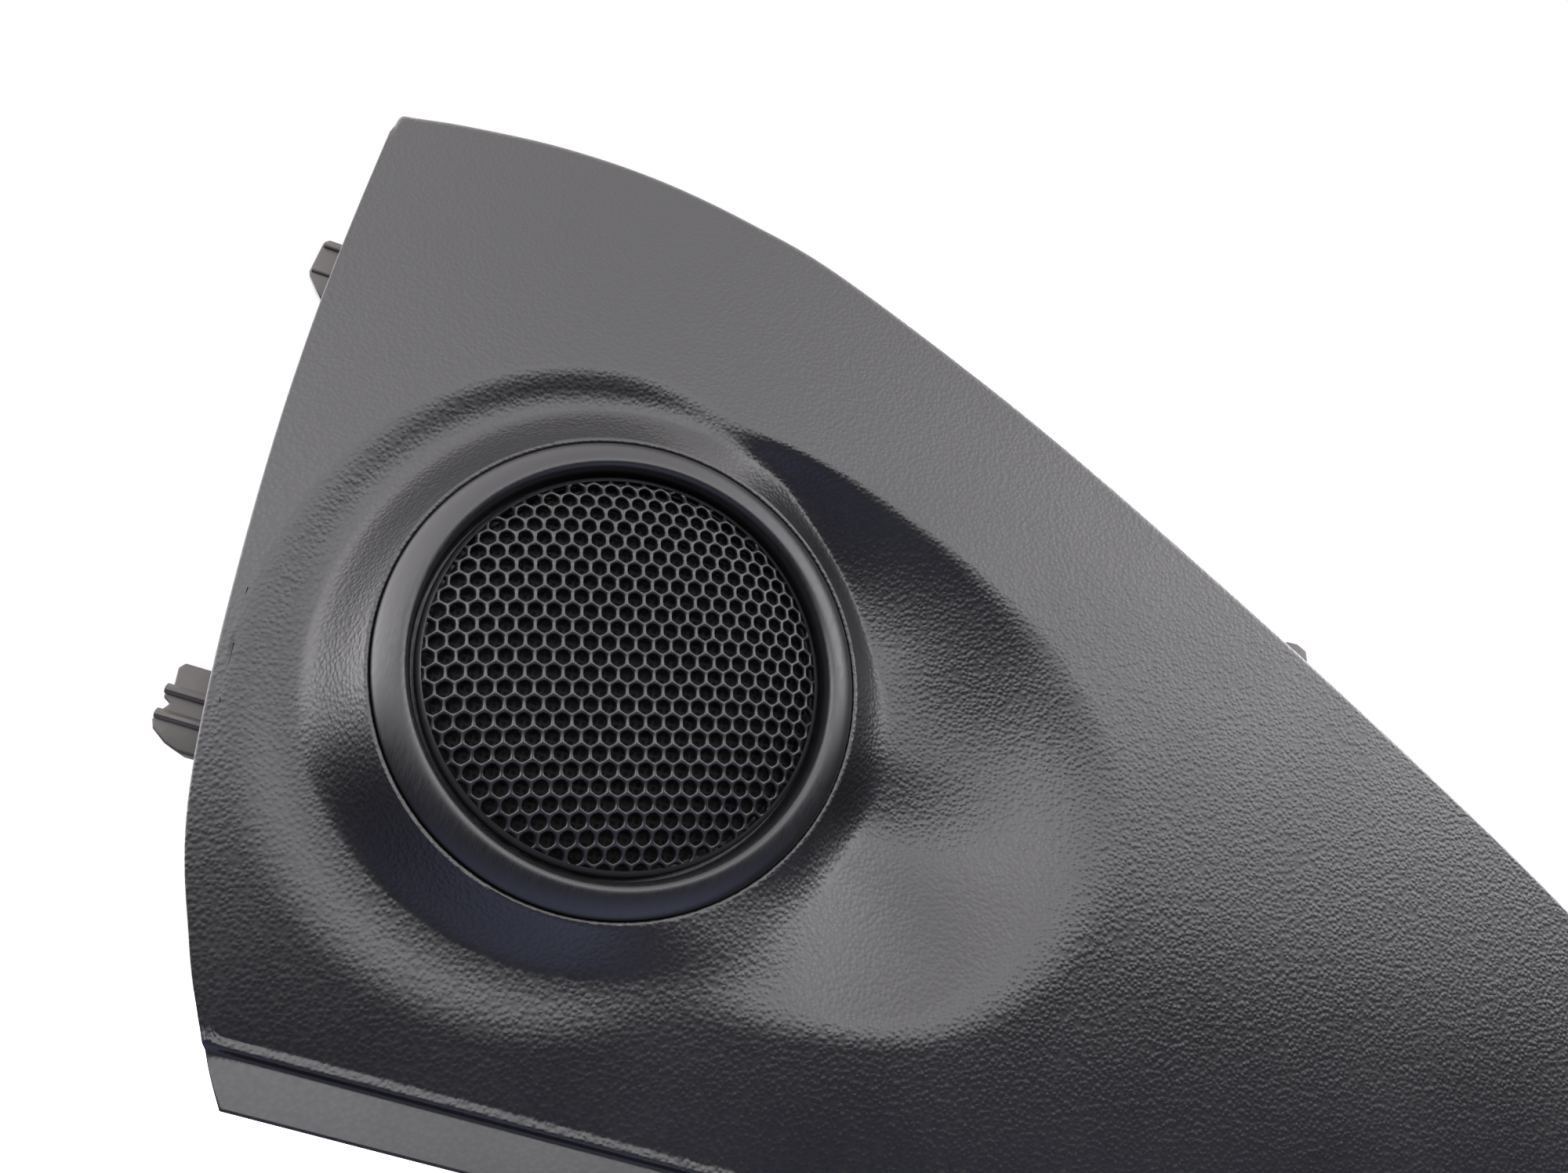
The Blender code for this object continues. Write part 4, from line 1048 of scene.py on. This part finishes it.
def tower(name, x, z):
    top = back_of_wall(x, z)
    outer = [(-6.0, -4.0), (6.0, -4.0), (6.0, 4.0), (-6.0, 4.0)]
    inner = [(-4.6, -2.6), (-4.6, 2.6), (4.6, 2.6), (4.6, -2.6)]
    bm = pierced(outer, [inner], 3.0, top, 0.25)
    absorb(bm, block((-0.5, -2.8, 3.2), (0.5, 2.8, top), 0.1, 1))
    absorb(bm, block((-4.8, -2.8, 4.2), (4.8, 2.8, 5.2), 0.1, 1))
    for side in (-1.0, 1.0):
        fin = upright(slab([(side * 5.8, 8.0), (side * 5.8, top), (side * 9.0, top)], -0.5, 0.5, 0.1))
        absorb(bm, fin)
    return settle(name, keep_behind(facing_back(bm, x, z)), GRAINED)


seat()
tower("tower_front", *FRONT_TOWER)
tower("tower_upper", *UPPER_TOWER)

# %% [markdown]
# Ribs on the back keep a thin trim from flexing. Each follows the inner face, because both read the same
# formula for depth. A rib is a strip of grid laid along its line and given thickness by extruding it
# sideways.

# %% Stiffening ribs
def rib(start, end, height=2.2, width=1.0):
    start, end = Vector(start), Vector(end)
    steps = 24
    bm = bmesh.new()
    bmesh.ops.create_grid(bm, x_segments=steps, y_segments=1, size=0.5)
    side = Vector((start.y - end.y, end.x - start.x)).normalized() * width / 2.0
    for vert in bm.verts:
        along, up = vert.co.x + 0.5, vert.co.y + 0.5
        spot = start.lerp(end, along)
        taper = min(1.0, 4.0 * along, 4.0 * (1.0 - along))
        depth = trim_depth(spot.x, spot.y) + WALL - 0.6 + up * (0.6 + height * taper)
        vert.co = TWEETER + Vector((spot.x - side.x, depth, spot.y - side.y)) * MM
    raised = bmesh.ops.extrude_face_region(bm, geom=bm.faces[:])["geom"]
    lifted = [item for item in raised if isinstance(item, bmesh.types.BMVert)]
    bmesh.ops.translate(bm, vec=(2.0 * side.x * MM, 0.0, 2.0 * side.y * MM), verts=lifted)
    return outward(bm)


RIBS = [((68.0, -10.0), (111.0, -23.0)), ((66.0, -4.0), (96.0, 14.0)), ((60.0, -18.0), (60.0, -36.0)),
        ((126.0, -26.0), (150.0, -34.0)), ((-10.0, 54.0), (6.0, 52.0)), ((-24.0, 52.0), (-36.0, 46.0)),
        ((60.0, -2.0), (52.0, 30.0)), ((92.0, -36.0), (92.0, -20.0))]


def ribs():
    bm = bmesh.new()
    for start, end in RIBS:
        absorb(bm, rib(start, end))
    return settle("back_ribs", bm, GRAINED)


ribs()

# %% [markdown]
# ## Connector, capacitor and leads
# The inlet is a keyed rectangular socket with two blades. A film capacitor beside the cover keeps the low
# notes out, and two short leads are held at both ends.

# %% Socket and pins
SOCKET_TOP = -27.35


def socket():
    outer = [(-8.5, -4.75), (8.5, -4.75), (8.5, 4.75), (-8.5, 4.75)]
    inner = [(-7.5, -3.75), (-7.5, 3.75), (7.5, 3.75), (7.5, -3.75)]
    bm = pierced(outer, [inner], SOCKET_TOP - 8.0, SOCKET_TOP - 1.0, 0.25)
    absorb(bm, block((-8.5, -4.75, SOCKET_TOP - 1.3), (8.5, 4.75, SOCKET_TOP), 0.3, 3))
    for x in (-2.0, 2.0):
        absorb(bm, block((x - 0.4, -3.9, SOCKET_TOP - 7.4), (x + 0.4, -3.1, SOCKET_TOP - 1.2), 0.12, 2))
    absorb(bm, upright(slab([(-3.0, SOCKET_TOP - 6.0), (3.0, SOCKET_TOP - 6.0), (3.0, SOCKET_TOP - 3.4),
                             (-3.0, SOCKET_TOP - 3.4)], -5.5, -4.6, 0.25)))
    return settle("socket", on_axis(bm), MOULDED, ["connector_socket"])


def pin(number, side):
    root = SOCKET_TOP - 1.65
    bm = block((-0.4, -0.4, root - 5.4), (0.4, 0.4, root))
    uprights = [edge for edge in bm.edges if edge.calc_length() > 1.0 * MM]
    bmesh.ops.subdivide_edges(bm, edges=uprights, cuts=5)
    tip = [vert for vert in bm.verts if vert.co.z < (root - 5.3) * MM]
    bmesh.ops.scale(bm, vec=(0.5, 0.5, 1.0), verts=tip)
    soften(bm, 0.08, 2)
    return settle("blade_%d" % number, on_axis(bm, (side * 5.5, 0.0, 0.0)), TIN,
                  ["socket_pin_%d" % number])


socket()
pin(1, -1.0)
pin(2, 1.0)

# %% Capacitor and leads
CAP_PLACE = (0.0, -26.95, -18.9)


def capacitor():
    profile = [(0.0, 7.0), (0.5, 7.0), (0.7, 6.75), (2.3, 6.75), (2.75, 7.0), (3.05, 6.75), (3.2, 6.3),
               (3.2, 6.0), (3.16, 5.8), (3.16, -5.8), (3.2, -6.0), (3.2, -6.3), (3.05, -6.75), (2.75, -7.0),
               (2.3, -6.75), (0.7, -6.75), (0.5, -7.0), (0.0, -7.0)]
    bm = turned(profile, 64)
    bmesh.ops.rotate(bm, verts=bm.verts, matrix=Matrix.Rotation(math.radians(90.0), 3, 'Y'))
    return settle("capacitor", on_axis(bm, CAP_PLACE), FILM_CAP, ["crossover_capacitor"])


def lead(name, route, replaced, radius=0.5):
    """A round insulated wire along a smooth route."""
    curve = bpy.data.curves.new(name, 'CURVE')
    curve.dimensions = '3D'
    curve.bevel_depth = radius * MM
    curve.bevel_resolution = 5
    curve.use_fill_caps = True
    points = catmull([AXIS @ (Vector(p) * MM) for p in route], 10)
    spline = curve.splines.new('POLY')
    spline.points.add(len(points) - 1)
    for point, spot in zip(spline.points, points):
        point.co = (*spot, 1.0)
    shape = bpy.data.objects.new(name + "_route", curve)
    bm = bmesh.new()
    bm.from_mesh(shape.to_mesh())
    bpy.data.objects.remove(shape)
    bpy.data.curves.remove(curve)
    length = sum((b - a).length for a, b in zip(points, points[1:]))
    print("%s is %.0f mm long" % (name, length / MM))
    return settle(name, outward(bm), RED_LEAD, [replaced])


capacitor()
lead("socket_lead", [(7.4, -27.0, -18.9), (10.0, -27.0, -19.6), (12.4, -25.4, -23.0), (12.0, -20.5, -28.0),
                     (9.6, -12.5, -31.0), (7.0, -5.4, -31.6)], "lead_to_socket")
lead("coil_lead", [(-7.4, -27.0, -18.9), (-10.0, -27.0, -19.4), (-12.6, -25.2, -20.6),
                   (-12.4, -22.3, -21.2), (-11.9, -20.6, -21.4)], "lead_to_coil")

# %% [markdown]
# ## Fixings of the trim
# Two moulded tongues stand past the rear edge. The lower one steps outwards as it goes down, with two
# rounded ribs across it and a slanted lower end. The upper one is smaller, with two shallow grooves.

# %% Side clips
def clip_depth(z_low, z_high, x_inner):
    return max(trim_depth(x_inner, z_low), trim_depth(x_inner, z_high)) + SKIRT + 0.8


def trim_side(bm, depth):
    """Stand a slab drawn as (x, z), with Z to the viewer, at a depth behind the trim."""
    bmesh.ops.rotate(bm, verts=bm.verts, matrix=Matrix.Rotation(math.radians(90.0), 3, 'X'))
    bmesh.ops.translate(bm, verts=bm.verts, vec=TWEETER + Vector((0.0, depth, 0.0)) * MM)
    return bm


def ledge_bar(x_low, x_high, z, height, proud):
    """A rounded rib across a clip: round above, undercut below."""
    bm = slab([(-0.2, -0.5 * height), (proud * 0.6, -0.5 * height), (proud, -0.2 * height),
               (proud, 0.1 * height), (proud * 0.55, 0.42 * height), (-0.2, 0.5 * height)],
              x_low, x_high, 0.12, 3)
    turn = Matrix(((0, 0, 1), (0, 1, 0), (1, 0, 0)))
    bmesh.ops.transform(bm, matrix=turn.to_4x4(), verts=bm.verts)
    bmesh.ops.translate(bm, verts=bm.verts, vec=(0.0, z * MM, 0.0))
    bmesh.ops.recalc_face_normals(bm, faces=bm.faces)
    return bm


def lower_clip():
    outline = [(-31.0, -12.4), (-46.1, -12.4), (-46.6, -13.1), (-46.2, -15.2), (-46.8, -15.8), (-46.7, -16.6),
               (-45.8, -17.1), (-46.6, -18.3), (-46.8, -19.2), (-46.3, -20.1), (-44.6, -21.2),
               (-43.0, -21.7), (-31.0, -21.7)]
    bm = slab(outline, -3.6, 0.0, 0.25, 3)
    absorb(bm, ledge_bar(-46.7, -31.4, -15.6, 1.2, 0.8))
    absorb(bm, ledge_bar(-46.6, -31.4, -18.4, 1.2, 0.8))
    return settle("lower_clip", trim_side(bm, clip_depth(-21.7, -12.4, -31.0)), CLIP,
                  ["side_clip_lower"])


def upper_clip():
    outline = [(-37.6, 44.1), (-52.5, 44.1), (-53.0, 43.3), (-53.0, 38.9), (-52.7, 38.2), (-50.4, 35.8),
               (-37.6, 35.8)]
    bm = slab(outline, -3.6, 0.0, 0.25, 3)
    absorb(bm, ledge_bar(-52.7, -38.2, 43.2, 0.9, 0.4))
    absorb(bm, ledge_bar(-52.7, -38.2, 39.3, 0.9, 0.4))
    return settle("upper_clip", trim_side(bm, clip_depth(35.8, 44.1, -37.6)), CLIP,
                  ["side_clip_upper"])


lower_clip()
upper_clip()

# %% Locating hook
def hook():
    slope = math.radians(27.5)
    bm = slab([(-2.0, -9.0), (2.0, -9.0), (2.0, -1.2), (2.3, 0.0), (1.0, 1.6), (-0.6, 1.5), (-2.0, 0.6)],
              -1.2, 1.2, 0.3, 3)
    bmesh.ops.rotate(bm, verts=bm.verts, matrix=Matrix.Rotation(-slope, 3, 'Z'))
    bmesh.ops.translate(bm, verts=bm.verts, vec=(86.2 * MM, 32.3 * MM, 0.0))
    depth = trim_depth(86.2, 32.3) + SKIRT + 3.1
    return settle("edge_hook", trim_side(bm, depth), CLIP, ["locating_hook"])


hook()

# %% [markdown]
# The spring clips are folded steel strips that straddle the towers. Their legs bulge so that they snap into
# the door frame. A strip is an outline of its fold, extruded to its width.

# %% Spring clips
def spring(name, x, z, replaced):
    inner, thick, end = 4.35, 0.7, 2.65
    tail, flare = 10.5, 1.6
    shape = [Vector((end - thick, inner + thick)), Vector((end + 1.0, inner + thick + 0.2)),
             Vector((tail - 3.4, inner + thick + flare)), Vector((tail - 2.6, inner + thick + flare)),
             Vector((tail, inner + thick))]
    outer = catmull(shape, 5)
    leg = [(p.x, p.y) for p in outer] + [(p.x + 0.02, p.y - thick) for p in reversed(outer[3:])]
    leg.append((end, inner))
    outline = leg + [(depth, -side) for depth, side in reversed(leg)]
    bm = slab(outline, -4.5, 4.5, 0.08, 1)
    turn = Matrix(((0, 0, 1), (0, 1, 0), (1, 0, 0)))
    bmesh.ops.transform(bm, matrix=turn.to_4x4(), verts=bm.verts)
    bmesh.ops.recalc_face_normals(bm, faces=bm.faces)
    return settle(name, facing_back(bm, x, z), STEEL, [replaced])


spring("front_spring", *FRONT_TOWER, "spring_clip_front")
spring("upper_spring", *UPPER_TOWER, "spring_clip_upper")

# %% [markdown]
# Felt strips stop rattles between the trim and the door. A felt strip is soft, so its edges are well
# rounded and its surface is slightly uneven. A subdivided box pushed about by a little noise gives that.

# %% Felt strips
from mathutils import noise


def felt(name, x, z, length, width, replaced):
    lean = math.atan2(trim_depth(x, z + 1.0) - trim_depth(x, z - 1.0), 2.0)
    bow = max(trim_depth(x + side * length / 2.0, z) for side in (-1.0, 1.0))
    depth = max(bow, trim_depth(x, z)) + WALL / math.cos(lean) + 0.7
    bm = block((-length / 2.0, 0.0, -width / 2.0), (length / 2.0, 1.2, width / 2.0), 0.3, 3)
    long_edges = [edge for edge in bm.edges if edge.calc_length() > 0.5 * length * MM]
    bmesh.ops.subdivide_edges(bm, edges=long_edges, cuts=40, use_grid_fill=True)
    for vert in bm.verts:
        vert.co += vert.normal * 0.09 * MM * noise.noise(vert.co / (1.4 * MM))
    bmesh.ops.rotate(bm, verts=bm.verts, matrix=Matrix.Rotation(-lean, 3, 'X'))
    bmesh.ops.translate(bm, verts=bm.verts, vec=TWEETER + Vector((x, depth, z)) * MM)
    return settle(name, bm, FELT, [replaced])


felt("lower_felt", 40.0, -40.0, 44.0, 5.0, "felt_strip_lower")
felt("upper_felt", 46.0, 37.5, 26.0, 5.0, "felt_strip_upper")

# %% [markdown]
# ## Floor, light and camera
# The object is dark and glossy, so what it reflects matters more than what lights it. Overhead it sees a
# broad bright ceiling, at eye level a dim room and below it a dark bench. A world whose brightness follows
# the height of the ray gives all three. The camera itself sees plain white.

# %% World
def studio_world():
    world = bpy.data.worlds.new("studio")
    bpy.context.scene.world = world
    world.use_nodes = True
    tree = world.node_tree
    tree.nodes.clear()
    spot = tree.nodes.new("ShaderNodeTexCoord")
    split = tree.nodes.new("ShaderNodeSeparateXYZ")
    ramp = tree.nodes.new("ShaderNodeValToRGB")
    rise = tree.nodes.new("ShaderNodeMapRange")
    room = tree.nodes.new("ShaderNodeBackground")
    plain_white = tree.nodes.new("ShaderNodeBackground")
    path = tree.nodes.new("ShaderNodeLightPath")
    mix = tree.nodes.new("ShaderNodeMixShader")
    out = tree.nodes.new("ShaderNodeOutputWorld")
    rise.inputs["From Min"].default_value = -1.0
    rise.inputs["From Max"].default_value = 1.0
    stops = [(0.0, (0.17, 0.185, 0.28)), (0.12, (0.09, 0.095, 0.15)), (0.26, (0.03, 0.031, 0.044)),
             (0.40, (0.006, 0.006, 0.009)), (0.47, (0.09, 0.09, 0.10)), (0.53, (0.48, 0.48, 0.50)),
             (0.59, (1.20, 1.18, 1.21)), (0.68, (1.08, 1.05, 1.08)), (0.83, (0.70, 0.68, 0.70)),
             (1.0, (0.54, 0.52, 0.53))]
    while len(ramp.color_ramp.elements) < len(stops):
        ramp.color_ramp.elements.new(0.5)
    for element, (position, colour) in zip(ramp.color_ramp.elements, stops):
        element.position = position
        element.color = (*colour, 1.0)
    sides = tree.nodes.new("ShaderNodeMath")
    sides.operation = 'ABSOLUTE'
    gain = tree.nodes.new("ShaderNodeMath")
    gain.operation = 'MULTIPLY_ADD'
    gain.inputs[1].default_value = 2.2
    gain.inputs[2].default_value = 2.9
    lean = tree.nodes.new("ShaderNodeMath")
    lean.operation = 'MULTIPLY_ADD'
    lean.inputs[1].default_value = -0.35
    plain_white.inputs["Color"].default_value = (1.0, 1.0, 1.0, 1.0)
    links = tree.links
    links.new(spot.outputs["Generated"], split.inputs[0])
    links.new(split.outputs["X"], lean.inputs[0])
    links.new(split.outputs["Z"], lean.inputs[2])
    links.new(lean.outputs[0], rise.inputs["Value"])
    links.new(rise.outputs["Result"], ramp.inputs["Fac"])
    links.new(ramp.outputs["Color"], room.inputs["Color"])
    links.new(split.outputs["X"], sides.inputs[0])
    links.new(sides.outputs[0], gain.inputs[0])
    links.new(gain.outputs[0], room.inputs["Strength"])
    links.new(path.outputs["Is Camera Ray"], mix.inputs["Fac"])
    links.new(room.outputs["Background"], mix.inputs[1])
    links.new(plain_white.outputs["Background"], mix.inputs[2])
    links.new(mix.outputs["Shader"], out.inputs["Surface"])
    print("world with", len(stops), "levels of brightness")


studio_world()

# %% Floor and softbox
def floor():
    bm = bmesh.new()
    bmesh.ops.create_grid(bm, x_segments=1, y_segments=1, size=2.0)
    bmesh.ops.translate(bm, verts=bm.verts, vec=(0.0, 0.0, -0.12))
    mesh = bpy.data.meshes.new("floor")
    bm.to_mesh(mesh)
    bm.free()
    look = plain("pale_floor", (0.86, 0.86, 0.86), 0.9)
    mesh.materials.append(look)
    obj = bpy.data.objects.new("floor", mesh)
    bpy.context.scene.collection.objects.link(obj)
    obj.visible_glossy = False
    obj.visible_diffuse = False
    print("floor at", -0.12)


def softbox(name, place, aim, size, power):
    data = bpy.data.lights.new(name, 'AREA')
    data.shape = 'DISK'
    data.size = size
    data.energy = power
    obj = bpy.data.objects.new(name, data)
    obj.location = place
    obj.rotation_euler = (Vector(aim) - Vector(place)).to_track_quat('-Z', 'Y').to_euler()
    bpy.context.scene.collection.objects.link(obj)
    print(name, "at", place)


floor()
softbox("rear_softbox", (0.25, 0.75, 0.55), (-0.02, 0.0, 0.0), 0.5, 9.0)

# %% [markdown]
# The camera looks up at the trim from below the tweeter, close, with a wide lens, and rolled anticlockwise.

# %% Camera
def camera():
    data = bpy.data.cameras.new("camera")
    data.sensor_width = 36.0
    data.lens = 27.0
    data.clip_start = 0.01
    obj = bpy.data.objects.new("camera", data)
    obj.location = TWEETER + Vector((-0.47, -128.33, -38.02)) * MM
    obj.rotation_euler = [math.radians(a) for a in (113.120, -14.117, -12.633)]
    bpy.context.scene.collection.objects.link(obj)
    bpy.context.scene.camera = obj
    print("camera at", tuple(round(v, 3) for v in obj.location))


camera()
bpy.context.scene.view_settings.view_transform = 'Standard'
